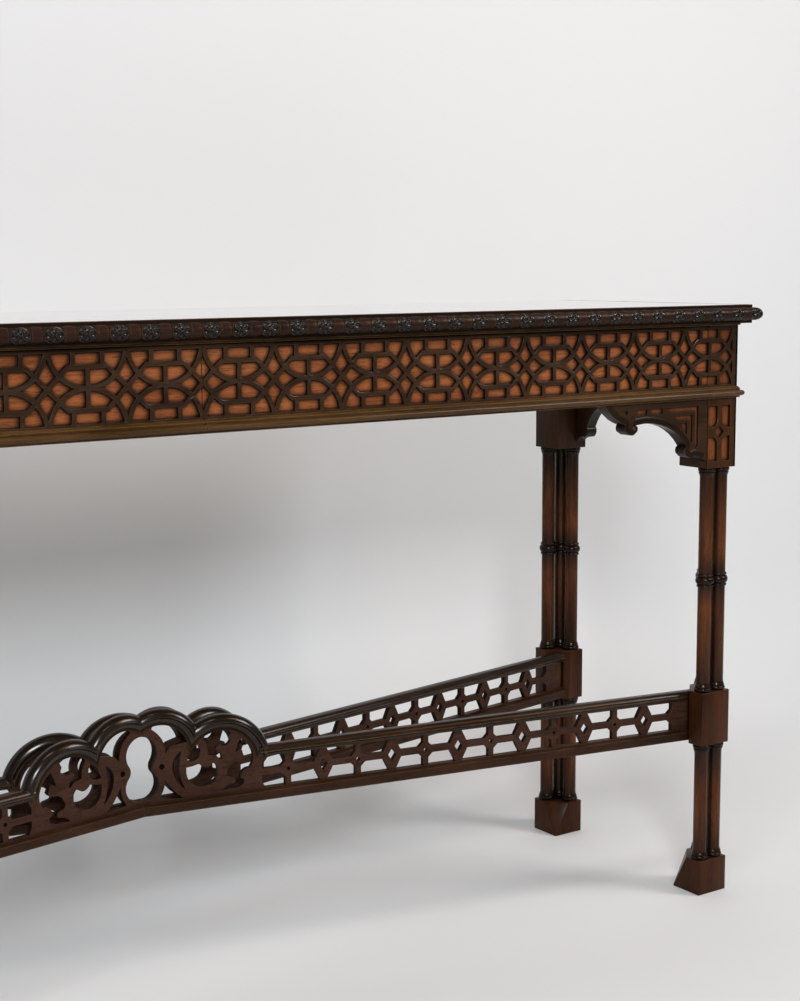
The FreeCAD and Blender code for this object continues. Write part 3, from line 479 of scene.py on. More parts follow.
@dataclass
class Stencil:
    """A flat pattern of joined plates and bars less its holes, drawn across and up in millimetres."""

    SAWN_DIRT_AND_SHADE = 0.86              # sawn walls are darkened with dirt and painted shade
    WALL_LEAN = 0.3              # a face that looks forward less than this is a sawn wall

    plates: list[list[Point]] = field(default_factory=list)
    holes: list[list[Point]] = field(default_factory=list)

    def bar(self, points: Sequence[Point], width: float) -> None:
        """Lay a bar of even width along a line.

        Args:
            points: the line.
            width: the bar's width.
        """
        half = width / 2.0
        sides = []
        for index, (x, y) in enumerate(points):
            left_x, left_y = (way * half for way in left_of(points, index))
            sides.append(((x + left_x, y + left_y), (x - left_x, y - left_y)))
        for (left, right), (next_left, next_right) in zip(sides, sides[1:]):
            self.plates.append([right, next_right, next_left, left])

    def rectangle(self, low: Point, high: Point) -> None:
        """Lay a square-cornered plate from its lower left to its upper right corner."""
        self.plates.append([low, (high[0], low[1]), high, (low[0], high[1])])

    def is_wood(self, x: float, y: float) -> bool:
        """Whether a place is on a plate and in no hole."""
        return (any(holds(loop, x, y) for loop in self.plates)
                and not any(holds(loop, x, y) for loop in self.holes))

    def veneer(self) -> bmesh.types.BMesh:
        """Cut the pattern from a sheet without thickness.

        Returns:
            The sheet, in the XZ plane.
        """
        points: list[Vector] = []
        faces: list[list[int]] = []
        for loop in self.plates + self.holes:
            area = sum(a[0] * b[1] - b[0] * a[1] for a, b in zip(loop, [*loop[1:], loop[0]]))
            ring = loop if area > 0 else loop[::-1]
            faces.append(list(range(len(points), len(points) + len(ring))))
            points += [Vector(point) for point in ring]
        corners, _, triangles, *_ = delaunay_2d_cdt(points, [], faces, 0, SNAP)
        bm = bmesh.new()
        verts = [bm.verts.new((corner.x * MM, 0.0, corner.y * MM)) for corner in corners]
        for triangle in triangles:
            x = sum(corners[index].x for index in triangle) / len(triangle)
            y = sum(corners[index].y for index in triangle) / len(triangle)
            if self.is_wood(x, y):
                bm.faces.new([verts[index] for index in triangle])
        bmesh.ops.delete(bm, geom=[vert for vert in verts if not vert.link_faces], context="VERTS")
        bmesh.ops.dissolve_limit(bm, angle_limit=FLAT_ANGLE, verts=bm.verts[:], edges=bm.edges[:])
        return bm

    def board(self, thickness: float, arris: float = 0.0, both_sides: bool = False) -> bpy.types.Mesh:
        """Cut the pattern from a board.

        Args:
            thickness: the board's thickness.
            arris: width of the small chamfer on its front edges.
            both_sides: whether the back edges are chamfered too.

        Returns:
            A mesh in the XZ plane, its front at Y = 0 and its back behind it.
        """
        bm = self.veneer()
        grown = bmesh.ops.extrude_face_region(bm, geom=bm.faces[:], use_keep_orig=True)["geom"]
        bmesh.ops.translate(bm, vec=(0.0, thickness * MM, 0.0),
                            verts=[item for item in grown if isinstance(item, bmesh.types.BMVert)])
        bmesh.ops.recalc_face_normals(bm, faces=bm.faces[:])
        if arris:
            depths = (0.0, thickness * MM) if both_sides else (0.0,)
            edges = [edge for edge in bm.edges if len(edge.link_faces) == 2
                     and edge.calc_face_angle(0.0) > CUT_ANGLE
                     and any(all(abs(vert.co.y - depth) < WELD for vert in edge.verts) for depth in depths)]
            bmesh.ops.bevel(bm, geom=edges, offset=arris * MM, segments=1, affect="EDGES", clamp_overlap=True)
        # sawn walls get dirt and painted shade
        age = bm.faces.layers.float.new("age")
        bm.normal_update()
        for face in bm.faces:
            face[age] = self.SAWN_DIRT_AND_SHADE if abs(face.normal.y) < self.WALL_LEAN else 0.0
        return to_mesh(bm, "stencil")


# ---------------------------------------------------------------- mesh helpers
def moved(x: float, y: float, z: float) -> Matrix:
    """A shift in millimetres."""
    return Matrix.Translation(Vector((x, y, z)) * MM)


def mirrored(x_way: float, y_way: float = 1.0) -> Matrix:
    """A mirror image where a way is -1, or a stretch along it."""
    return Matrix.Diagonal((x_way, y_way, 1.0, 1.0))


def to_mesh(bm: bmesh.types.BMesh, name: str) -> bpy.types.Mesh:
    """Turn a bmesh into a mesh and free it.

    Args:
        bm: the bmesh.
        name: the mesh's name.

    Returns:
        The mesh.
    """
    mesh = bpy.data.meshes.new(name)
    bm.to_mesh(mesh)
    bm.free()
    return mesh


def skin(rings: Sequence[Sequence[Vector]]) -> bpy.types.Mesh:
    """A closed skin over rings of points, in metres.

    Args:
        rings: rings with the same number of points.

    Returns:
        The mesh, its ends filled and its faces outwards.
    """
    bm = bmesh.new()
    rows = [[bm.verts.new(point) for point in ring] for ring in rings]
    for row, following in zip(rows, rows[1:]):
        for index, vert in enumerate(row):
            beside = (index + 1) % len(row)
            bm.faces.new([vert, row[beside], following[beside], following[index]])
    bm.faces.new(rows[0])
    bm.faces.new(rows[-1])
    bmesh.ops.recalc_face_normals(bm, faces=bm.faces[:])
    return to_mesh(bm, "skin")


def turned(profile: Sequence[Point]) -> bpy.types.Mesh:
    """A turned piece about Z.

    Args:
        profile: (radius, height) points in millimetres, lowest first.

    Returns:
        The mesh.
    """
    turns = [2.0 * math.pi * step / TURNED_FLATS for step in range(TURNED_FLATS)]
    return skin([[Vector((radius * math.cos(turn), radius * math.sin(turn), height)) * MM for turn in turns]
                 for radius, height in profile])


def rounded_over(bm: bmesh.types.BMesh, edges: Sequence[bmesh.types.BMEdge], arris: float) -> None:
    """Round some of a mesh's edges over, by a number of millimetres."""
    bmesh.ops.bevel(bm, geom=edges, offset=arris * MM, segments=2, profile=0.6, affect="EDGES",
                    clamp_overlap=True)


def block(low: Sequence[float], high: Sequence[float], arris: float) -> bpy.types.Mesh:
    """A squared block with soft edges, in millimetres.

    Args:
        low: its lowest corner.
        high: its highest corner.
        arris: how far its edges are rounded over.

    Returns:
        The mesh.
    """
    bm = bmesh.new()
    bmesh.ops.create_cube(bm, size=1.0)
    for vert in bm.verts:
        vert.co = Vector([(low[axis] if vert.co[axis] < 0 else high[axis]) * MM for axis in range(3)])
    rounded_over(bm, bm.edges[:], arris)
    return to_mesh(bm, "block")


def merged_node(node: str) -> bmesh.types.BMesh:
    """A copy of a solid's mesh with its corners joined and its flat faces whole.

    Args:
        node: the solid's name.

    Returns:
        The copy.
    """
    bm = bmesh.new()
    bm.from_mesh(bpy.data.objects[node].data)
    bmesh.ops.remove_doubles(bm, verts=bm.verts[:], dist=WELD)
    bmesh.ops.dissolve_limit(bm, angle_limit=FLAT_ANGLE, verts=bm.verts[:], edges=bm.edges[:])
    return bm


def softened(node: str, arris: float) -> bpy.types.Mesh:
    """A copy of a solid with its edges rounded over.

    Args:
        node: the solid's name.
        arris: how far its edges are rounded over, in millimetres.

    Returns:
        The mesh.
    """
    bm = merged_node(node)
    edges = [edge for edge in bm.edges
             if len(edge.link_faces) == 2 and edge.calc_face_angle(0.0) > ROUNDED_ANGLE]
    rounded_over(bm, edges, arris)
    return to_mesh(bm, node + "_soft")


def trimmed(mesh: bpy.types.Mesh, point: Sequence[float], outward: Sequence[float],
            capped: bool = True) -> bpy.types.Mesh:
    """Cut away what lies beyond a plane.

    Args:
        mesh: the mesh, which is used up.
        point: a point of the plane in metres.
        outward: the plane's normal, towards what goes.
        capped: whether the cut is closed.

    Returns:
        The mesh that is left.
    """
    bm = bmesh.new()
    bm.from_mesh(mesh)
    cut = bmesh.ops.bisect_plane(bm, geom=bm.verts[:] + bm.edges[:] + bm.faces[:], dist=WELD / 4.0,
                                 plane_co=point, plane_no=outward, clear_outer=True)
    if capped:
        rim = [item for item in cut["geom_cut"] if isinstance(item, bmesh.types.BMEdge)]
        filled = bmesh.ops.triangle_fill(bm, edges=rim, use_beauty=True, normal=outward)["geom"]
        for face in (item for item in filled if isinstance(item, bmesh.types.BMFace)):
            face.normal_update()
            if face.normal.dot(Vector(outward)) < 0.0:
                face.normal_flip()
    bm.to_mesh(mesh)
    bm.free()
    return mesh


@dataclass
class Piece:
    """One finished piece: parts gathered under one name, each part with its own finish."""

    name: str
    finishes: list[bpy.types.Material] = field(default_factory=list)
    bm: bmesh.types.BMesh = field(default_factory=bmesh.new)

    def add(self, mesh: bpy.types.Mesh, finish: bpy.types.Material, place: Matrix | None = None) -> "Piece":
        """Add a part.

        Args:
            mesh: the part's mesh, which is left as it was.
            finish: its material.
            place: where it goes, if not where it is.

        Returns:
            The piece.
        """
        if finish not in self.finishes:
            self.finishes.append(finish)
        copy = mesh.copy()
        if place is not None:
            copy.transform(place)
            if place.determinant() < 0:
                copy.flip_normals()
        before = len(self.bm.faces)
        self.bm.from_mesh(copy)
        self.bm.faces.ensure_lookup_table()
        for face in self.bm.faces[before:]:
            face.material_index = self.finishes.index(finish)
        bpy.data.meshes.remove(copy)
        return self

    def fit(self, body: str, slot: str, replaces: Iterable[str] = ()) -> bpy.types.Object:
        """Put the piece on its body.

        Args:
            body: the body that carries it.
            slot: a material slot's name, not used.
            replaces: the solids that it stands for.

        Returns:
            The piece's object.
        """
        for face in self.bm.faces:
            face.smooth = True
        mesh = to_mesh(self.bm, self.name)
        mesh.set_sharp_from_angle(angle=SMOOTH_ANGLE)
        for finish in self.finishes:
            mesh.materials.append(finish)
        piece = bpy.data.objects.new(self.name, mesh)
        bpy.context.scene.collection.objects.link(piece)
        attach(piece, body)
        if replaces:
            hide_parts(*replaces)
        LOG.info("%s: %d faces on %s", self.name, len(mesh.polygons), body)
        return piece


class Row:
    """Geometry Nodes that set a piece out in a row and give it one finish."""

    INPUTS = (("Piece", "NodeSocketObject"), ("Count", "NodeSocketInt"), ("Start", "NodeSocketVector"),
              ("Step", "NodeSocketVector"), ("Turn", "NodeSocketFloat"), ("Weld", "NodeSocketFloat"),
              ("Finish", "NodeSocketMaterial"))

    def __init__(self) -> None:
        """Build the tree."""
        tree = bpy.data.node_groups.new("row_of_pieces", "GeometryNodeTree")
        tree.interface.new_socket("Geometry", in_out="INPUT", socket_type="NodeSocketGeometry")
        self.sockets = {name: tree.interface.new_socket(name, in_out="INPUT", socket_type=kind).identifier
                        for name, kind in self.INPUTS}
        tree.interface.new_socket("Geometry", in_out="OUTPUT", socket_type="NodeSocketGeometry")
        given = add_node(tree, "NodeGroupInput").outputs
        line = add_node(tree, "GeometryNodeMeshLine", {".mode": "OFFSET"},
                        {"Count": given["Count"], "Start Location": given["Start"], "Offset": given["Step"]})
        piece = add_node(tree, "GeometryNodeObjectInfo", {}, {"Object": given["Piece"]})
        turn = add_node(tree, "ShaderNodeCombineXYZ", {}, {"Z": given["Turn"]})
        row = add_node(tree, "GeometryNodeInstanceOnPoints", {},
                       {"Points": line.outputs["Mesh"], "Instance": piece.outputs["Geometry"],
                        "Rotation": turn.outputs[0]})
        real = add_node(tree, "GeometryNodeRealizeInstances", {}, {"Geometry": row.outputs[0]})
        welded = add_node(tree, "GeometryNodeMergeByDistance", {},
                          {"Geometry": real.outputs[0], "Distance": given["Weld"]})
        dressed = add_node(tree, "GeometryNodeSetMaterial", {},
                           {"Geometry": welded.outputs[0], "Material": given["Finish"]})
        add_node(tree, "NodeGroupOutput", {}, {0: dressed.outputs[0]})
        self.tree = tree

    def lay(self, mesh: bpy.types.Mesh, count: int, start: Sequence[float], step: Sequence[float],
            finish: bpy.types.Material, turn: float = 0.0) -> bpy.types.Mesh:
        """Set a piece out in a row.

        Args:
            mesh: the piece at the origin.
            count: how many there are.
            start: the first one's place in millimetres.
            step: from one to the next in millimetres.
            finish: their material.
            turn: degrees that each is turned about Z.

        Returns:
            The row as one plain mesh.
        """
        pattern = bpy.data.objects.new("pattern", mesh)
        carrier = bpy.data.objects.new("row", bpy.data.meshes.new("row"))
        for helper in (pattern, carrier):
            bpy.context.scene.collection.objects.link(helper)
        modifier = carrier.modifiers.new("row", "NODES")
        modifier.node_group = self.tree
        values = {"Piece": pattern, "Count": count, "Start": [value * MM for value in start],
                  "Step": [value * MM for value in step], "Turn": math.radians(turn), "Weld": WELD,
                  "Finish": finish}
        for name, value in values.items():
            modifier[self.sockets[name]] = value
        graph = bpy.context.evaluated_depsgraph_get()
        result = bpy.data.meshes.new_from_object(carrier.evaluated_get(graph))
        for helper in (carrier, pattern):
            bpy.data.objects.remove(helper)
        return result


@dataclass
class Workshop:
    """The finishes and tools that every sub-assembly shares."""

    timber: dict[Finish, bpy.types.Material]
    oak: bpy.types.Material
    row: Row

    @classmethod
    def opened(cls) -> "Workshop":
        """Make every finish and tool."""
        return cls({finish: finish.value.build() for finish in Finish}, LiningOak().build(), Row())

    def assemble(self, name: str, parts: Iterable[tuple[bpy.types.Mesh, Finish, Matrix]], slot: str,
                 node: str, body: str = "root") -> bpy.types.Object:
        """Gather parts into one piece that stands for a solid.

        Args:
            name: the piece's name.
            parts: meshes with their finishes and places.
            slot: the record's material slot.
            node: the solid that it replaces.
            body: the body that carries it.

        Returns:
            The piece's object.
        """
        piece = Piece(name)
        for mesh, finish, place in parts:
            piece.add(mesh, self.timber[finish], place)
        return piece.fit(body, slot, [node])


def mm_box(node: str) -> tuple[Vector, Vector]:
    """A solid's lowest and highest corners in millimetres."""
    low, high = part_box(node)
    return low / MM, high / MM


# ---------------------------------------------------------------- top
@dataclass
class CarvedTop:
    """The polished top board with its carved torus edge."""

    shop: Workshop
    strip: float = 10.0          # flat part of the applied edge
    lip: float = 4.0             # fillets above and below the torus
    bulge: float = 10.2          # leaves room for the rosettes inside the solid's edge
    rosette_pitch: float = 38.15
    rosette_reach: float = 11.0
    petals: int = 6
    petal_width: float = 3.3
    petal_lift: float = 1.9
    petal_root: float = 2.2      # from the rosette's middle
    petal_gap: float = 0.2       # from a petal's tip to the disc's edge
    petal_low: float = 0.35      # height at a petal's ends, as a share of its lift
    petal_start: float = 0.08    # width at its root, as a share of the way to its widest place
    petal_lean: float = 1.3      # larger puts its widest place nearer the tip
    petal_blunt: float = 0.6     # smaller makes its ends blunter
    petal_ridge: float = 1.6     # smaller makes its ridge sharper
    disc_lift: float = 0.35      # at its edge
    disc_crown: float = 0.45     # and in its middle
    disc_skirt: float = 0.3      # how far its edge spreads and sinks
    boss_half: Point = (3.0, 2.6)                       # half its length and half its width
    sink: float = 0.2            # how far a petal goes into the disc
    band_width: float = 11.6
    band_shoulder: float = 1.3   # from its edge to its flat
    band_crown: Point = (1.5, 0.6)                      # half width and lift of its ridge
    band_lift: float = 0.4
    band_sink: float = 0.4
    band_gap: float = 0.9        # from its ends to the fillets

    def __post_init__(self) -> None:
        """Read the board's box and work out the torus."""
        self.board_low, self.board_high = mm_box("top_board")
        half = (self.board_high.z - self.board_low.z) / 2.0 - self.lip
        self.radius = (half * half + self.bulge * self.bulge) / (2.0 * self.bulge)
        self.hub = self.strip + self.bulge - self.radius
        self.middle = (self.board_high.z + self.board_low.z) / 2.0

    def profile(self) -> list[Point]:
        """Draw the edge's section.

        Returns:
            Its (out, height) points.
        """
        low, high = self.board_low.z, self.board_high.z
        tip = (self.strip + self.bulge, self.middle)
        return drawn([(0.0, low), (self.strip, low), (self.strip, low + self.lip),
                      (tip, (self.strip, high - self.lip)), (self.strip, high), (0.0, high)])

    def on_torus(self, along: float, around: float, lift: float) -> Vector:
        """A point over the torus of the front edge, whose middle is the origin's.

        Args:
            along: distance along the edge.
            around: distance round the torus from its middle, upwards.
            lift: distance off its surface.

        Returns:
            The point in metres, with -Y outwards from the board's face.
        """
        turn = around / self.radius
        reach = self.radius + lift
        out, height = self.hub + reach * math.cos(turn), self.middle + reach * math.sin(turn)
        return Vector((along, -out, height)) * MM

    def mound(self, bm: bmesh.types.BMesh, centre: Point, turn: float, length: float, width: float,
              lift: float) -> None:
        """Raise a ridged petal over the torus.

        Args:
            bm: the mesh that gets it.
            centre: where its root is, along and around.
            turn: the way it points, in radians.
            length: from root to tip.
            width: half its width.
            lift: its height.
        """
        rows, columns = 7, 8
        grid = []
        for row in range(rows + 1):
            share = row / rows
            grown = self.petal_start + (1.0 - self.petal_start) * share ** self.petal_lean
            swell = math.sin(math.pi * min(0.999, grown)) ** self.petal_blunt
            line = []
            for column in range(columns + 1):
                side = 2.0 * column / columns - 1.0
                forward, across = share * length, side * width * swell
                along = centre[0] + forward * math.cos(turn) - across * math.sin(turn)
                around = centre[1] + forward * math.sin(turn) + across * math.cos(turn)
                ridge = 1.0 - abs(side) ** self.petal_ridge
                height = lift * ridge * (self.petal_low + (1.0 - self.petal_low) * swell) - self.sink
                line.append(bm.verts.new(self.on_torus(along, around, height)))
            grid.append(line)
        for row, following in zip(grid, grid[1:]):
            for index in range(columns):
                bm.faces.new([row[index], following[index], following[index + 1], row[index + 1]])

    def rosette(self) -> bpy.types.Mesh:
        """Carve a six-petalled rosette round a small boss, on a low disc.

        Returns:
            The mesh.
        """
        bm = bmesh.new()
        reach = self.rosette_reach
        steps = 24
        turns = [2.0 * math.pi * step / steps for step in range(steps)]
        edges = ((reach + self.disc_skirt, -self.disc_skirt), (reach, self.disc_lift))
        foot, rim = ([bm.verts.new(self.on_torus(radius * math.cos(turn), radius * math.sin(turn), lift))
                      for turn in turns] for radius, lift in edges)
        crown = bm.verts.new(self.on_torus(0.0, 0.0, self.disc_crown))
        for index in range(steps):
            beside = (index + 1) % steps
            bm.faces.new([foot[index], foot[beside], rim[beside], rim[index]])
            bm.faces.new([rim[index], rim[beside], crown])
        for petal in range(self.petals):
            turn = 2.0 * math.pi * (petal + 0.5) / self.petals
            root = (self.petal_root * math.cos(turn), self.petal_root * math.sin(turn))
            self.mound(bm, root, turn, reach - self.petal_root - self.petal_gap, self.petal_width,
                       self.petal_lift)
        for turn in (0.0, math.pi):
            self.mound(bm, (0.0, 0.0), turn, *self.boss_half, self.petal_lift)
        bmesh.ops.recalc_face_normals(bm, faces=bm.faces[:])
        return to_mesh(bm, "rosette")

    def band(self) -> bpy.types.Mesh:
        """Make the smooth raised band that crosses the torus between two rosettes.

        Returns:
            The mesh.
        """
        half, (crown, ridge) = self.band_width / 2.0, self.band_crown
        rising = [(half, -self.band_sink), (half - 0.5, self.band_lift * 0.8),
                  (half - self.band_shoulder, self.band_lift), (crown, ridge)]
        section = [(-along, lift) for along, lift in rising] + rising[::-1]
        reach = self.radius * math.acos((self.radius - self.bulge) / self.radius) - self.band_gap
        steps = 12
        rows = [reach * (2.0 * step / steps - 1.0) for step in range(steps + 1)]
        return skin([[self.on_torus(along, around, lift) for along, lift in section] for around in rows])

    def build(self) -> None:
        """Make the edge and set its carving round the front and the two ends."""
        timber, lay = self.shop.timber, self.shop.row.lay
        x_face, y_face, y_end = self.board_high.x, self.board_low.y, self.board_high.y
        rings = [[Vector((side * (x_face + out), y_end if at_back else y_face - out, height)) * MM
                  for out, height in self.profile()]
                 for side, at_back in ((1, True), (1, False), (-1, False), (-1, True))]
        piece = Piece("carved_top_edge").add(skin(rings), timber[Finish.TORUS])
        corner = x_face + self.strip
        count = 2 * round(corner / self.rosette_pitch) + 1
        pitch = 2.0 * corner / (count - 1)
        end_count = int((y_end - y_face) / pitch)
        # a rosette stands on each corner and a band half way to the next
        for mesh, row_count, first, end_first, finish in (
                (self.rosette(), count, 0.0, 1.0, timber[Finish.CARVING]),
                (self.band(), count - 1, 0.5, 0.5, timber[Finish.BAND])):
            front = lay(mesh, row_count, (-corner + first * pitch, y_face, 0.0), (pitch, 0.0, 0.0), finish)
            piece.add(front, finish)
            y_start = y_face - self.strip + end_first * pitch
            for side, _ in SIDES:
                piece.add(lay(mesh, end_count, (side * x_face, y_start, 0.0), (0.0, pitch, 0.0), finish,
                              90.0 * side), finish)
        piece.fit("root", "carved_mahogany", ["top_edge_front", "top_edge_left", "top_edge_right"])


# ---------------------------------------------------------------- frieze
@dataclass
class BlindFret:
    """The applied fret of interlaced circles and hexagons, drawn about the crossing of one unit."""

    pitch: float = 95.0
    bar: float = 5.3
    depth: float = 3.5
    arris: float = 0.45
    circle_radius: float = 46.5
    hexagon_half: float = 23.75
    stub: float = 17.6
    cell_half: float = 39.4      # crossing to the inner edge of the borders
    overlap: float = 1.0         # how far the bars run into the borders
    skim: float = 0.01           # trimmed off the borders' outer edges

    def unit_stencil(self, top: float, bottom: float) -> Stencil:
        """Draw one unit with enough of its neighbours to run into them.

        Args:
            top: the upper border's outer edge above the crossing.
            bottom: the lower border's outer edge below the crossing.

        Returns:
            The pattern, wider than one unit.
        """
        stencil = Stencil()
        half, border = self.pitch / 2.0, self.cell_half + self.overlap
        reach = math.acos(1.0 - border / self.circle_radius)
        steps = 20
        turns = [-reach + 2.0 * reach * step / steps for step in range(steps + 1)]
        for shift in (-self.pitch, 0.0, self.pitch):
            for way in (1.0, -1.0):
                rise = way * self.hexagon_half
                stencil.bar([(shift - half, 0.0), (shift - half + self.hexagon_half, rise),
                             (shift + half - self.hexagon_half, rise), (shift + half, 0.0)], self.bar)
                stencil.bar([(shift + self.circle_radius * math.sin(turn),
                              way * self.circle_radius * (1.0 - math.cos(turn))) for turn in turns], self.bar)
                stencil.bar([(shift, 0.0), (shift, rise)], self.bar)
                for along in (shift - self.stub, shift + self.stub):
                    stencil.bar([(along, rise), (along, way * border)], self.bar)
        width = 1.5 * self.pitch
        stencil.rectangle((-width, self.cell_half), (width, top))
        stencil.rectangle((-width, bottom), (width, -self.cell_half))
        return stencil

    def unit(self, top: float, bottom: float, left: float, right: float, cap_left: bool = False,
             cap_right: bool = False) -> bpy.types.Mesh:
        """Cut one unit, or part of one, from the fret's board.

        Args:
            top: the upper border's outer edge above the crossing.
            bottom: the lower border's outer edge below the crossing.
            left: where it starts, from the unit's middle.
            right: where it ends.
            cap_left: whether the left cut shows.
            cap_right: whether the right cut shows.

        Returns:
            The mesh, its front at Y = 0.
        """
        mesh = self.unit_stencil(top, bottom).board(self.depth, self.arris)
        mesh = trimmed(mesh, (left * MM, 0.0, 0.0), (-1.0, 0.0, 0.0), cap_left)
        mesh = trimmed(mesh, (right * MM, 0.0, 0.0), (1.0, 0.0, 0.0), cap_right)
        mesh = trimmed(mesh, (0.0, 0.0, (top - self.skim) * MM), (0.0, 0.0, 1.0))
        return trimmed(mesh, (0.0, 0.0, (bottom + self.skim) * MM), (0.0, 0.0, -1.0))


@dataclass
class Frieze:
    """Drawer fronts, posts and end rails with their blind fret."""

    FACE_REACH = 1.0             # corners this near a drawer front's face are on it
    SHEET_ARRIS = 0.05
    RAIL_ARRIS = 0.1
    POST_ARRIS = 0.3

    shop: Workshop
    fret: BlindFret = field(default_factory=BlindFret)
    crossing: float = 791.7      # height of the fret's middle line
    corner_border: float = 10.0
    post_bar_left: float = 19.0  # right edge of the post's left cells, from its inner edge
    post_bar_right: float = 28.5
    post_margins: tuple[float, float, float, float] = (1.6, 12.2, 10.6, 10.0)   # inner, outer, top, bottom
    post_waist: Point = (679.3, 691.0)                  # between the post's lower and upper cells
    cusp: float = 5.0            # how far a post's cell is cut in at its waist
    cusp_heights: Point = (8.0, 2.0)                    # from the waist to where it starts and is full
    diamond_half: float = 8.6
    sheet: float = 0.3           # how far the bright ground stands off the dark core
    lap: float = 0.1             # how far a drawer's ground goes into its core
    rail_ground: float = 2.0     # thickness of an end rail's ground

    def __post_init__(self) -> None:
        """Read the posts' and drawers' boxes."""
        self.post_low, self.post_high = mm_box("post_front_right")
        self.rear_low, self.rear_high = mm_box("post_rear_right")
        self.front_low, self.front_high = mm_box("drawer_right_front")
        self.rail_low, self.rail_high = mm_box("side_rail_right")
        self.above = self.post_high.z - self.crossing
        self.below = self.front_low.z - self.crossing

    def set_back(self, node: str) -> bpy.types.Mesh:
        """A copy of a drawer front with its face set back behind the fret's ground.

        Args:
            node: the drawer front's solid.

        Returns:
            The mesh.
        """
        bm = merged_node(node)
        for vert in bm.verts:
            if vert.co.y < (self.front_low.y + self.FACE_REACH) * MM:
                vert.co.y += (self.fret.depth + self.sheet) * MM
        return to_mesh(bm, node + "_core")

    def drawer_fronts(self) -> None:
        """Make the two drawer fronts."""
        low, high, fret = self.front_low, self.front_high, self.fret
        pitch, half = fret.pitch, fret.pitch / 2.0
        count = int(high.x / pitch)
        above = high.z - self.crossing
        whole = fret.unit(above, self.below, -half, half)
        first = fret.unit(above, self.below, -half + low.x, half, cap_left=True)
        last = fret.unit(above, self.below, -half, high.x - (count + 0.5) * pitch, cap_right=True)
        row = self.shop.row.lay(whole, count - 1, (1.5 * pitch, low.y, self.crossing), (pitch, 0.0, 0.0),
                                self.shop.timber[Finish.FRET])
        face = low.y + fret.depth
        ground = block((low.x, face, low.z), (high.x, face + self.sheet + self.lap, high.z), self.SHEET_ARRIS)
        for side, name in SIDES:
            across = mirrored(side)
            node = f"drawer_{name}_front"
            self.shop.assemble(f"drawer_{name}_fretted_front", [
                (self.set_back(node), Finish.FRET, Matrix()), (ground, Finish.GROUND, across),
                (row, Finish.FRET, across),
                (first, Finish.FRET, across @ moved(0.5 * pitch, low.y, self.crossing)),
                (last, Finish.FRET, across @ moved((count + 0.5) * pitch, low.y, self.crossing)),
            ], "fretted_mahogany", node, f"drawer_{name}")

    def post_panel(self) -> Stencil:
        """Draw the fret of a post below the frieze, across from the post's inner edge, at its real heights.

        Returns:
            The pattern.
        """
        inner, outer, above, below = self.post_margins
        width = self.post_high.x - self.post_low.x
        low, high = self.post_low.z, self.front_low.z
        starts, full = self.cusp_heights
        stencil = Stencil()
        stencil.rectangle((0.0, low), (width, high + self.fret.overlap))
        for near, far, toward in ((self.post_bar_left, inner, 1), (self.post_bar_right, width - outer, -1)):
            for waist, end, way in ((self.post_waist[1], high - above, 1),
                                    (self.post_waist[0], low + below, -1)):
                stencil.holes.append([(far, end), (near, end), (near, waist + way * starts),
                                      (near - toward * self.cusp, waist + way * full), (far, waist)])
        middle, half = (self.post_bar_left + self.post_bar_right) / 2.0, self.diamond_half
        waist = sum(self.post_waist) / 2.0
        stencil.holes.append([(middle - half, waist), (middle, waist - half), (middle + half, waist),
                              (middle, waist + half)])
        return stencil

    def post_faces(self) -> list[tuple[bpy.types.Mesh, Finish]]:
        """Make what covers one face of a post, across from its inner edge.

        Returns:
            The frieze's fret, the fret below it, the ground and the plain border at the corner.
        """
        fret, low, high = self.fret, self.post_low, self.post_high
        width = high.x - low.x
        start = low.x - (round(low.x / fret.pitch - 0.5) + 0.5) * fret.pitch
        upper = fret.unit(self.above, self.below, start, start + width - self.corner_border, cap_left=True)
        upper.transform(moved(-start, 0.0, self.crossing))
        panel = self.post_panel()
        floor = Stencil(list(panel.holes))
        floor.rectangle((self.sheet, self.front_low.z), (width - 2.0 * self.sheet, high.z - self.sheet))
        ground = floor.board(self.sheet)
        ground.transform(moved(0.0, fret.depth - self.sheet, 0.0))
        border = Stencil()
        border.rectangle((width - self.corner_border, self.front_low.z), (width, high.z))
        return [(upper, Finish.FRET), (panel.board(fret.depth, fret.arris), Finish.POST),
                (ground, Finish.SUNK), (border.board(fret.depth), Finish.FRET)]

    def posts(self) -> None:
        """Make the four posts, fretted on their outer faces."""
        depth, faces = self.fret.depth, self.post_faces()
        low, high, rear_low, rear_high = self.post_low, self.post_high, self.rear_low, self.rear_high
        front_core = block((low.x, low.y + depth, low.z), (high.x - depth, high.y, high.z), self.POST_ARRIS)
        rear_core = block(rear_low, (rear_high.x - depth, rear_high.y, rear_high.z), self.POST_ARRIS)
        front_places = (moved(low.x, low.y, 0.0), moved(high.x, high.y, 0.0) @ QUARTER_TURN @ mirrored(-1))
        rear_places = (moved(rear_high.x, rear_low.y, 0.0) @ QUARTER_TURN,)
        for side, name in SIDES:
            across = mirrored(side)
            for end, core, places in (("front", front_core, front_places), ("rear", rear_core, rear_places)):
                parts = [(mesh, finish, across @ place) for place in places for mesh, finish in faces]
                self.shop.assemble(f"post_{end}_{name}_fretted", [(core, Finish.POST, across), *parts],
                                   "fretted_mahogany", f"post_{end}_{name}")

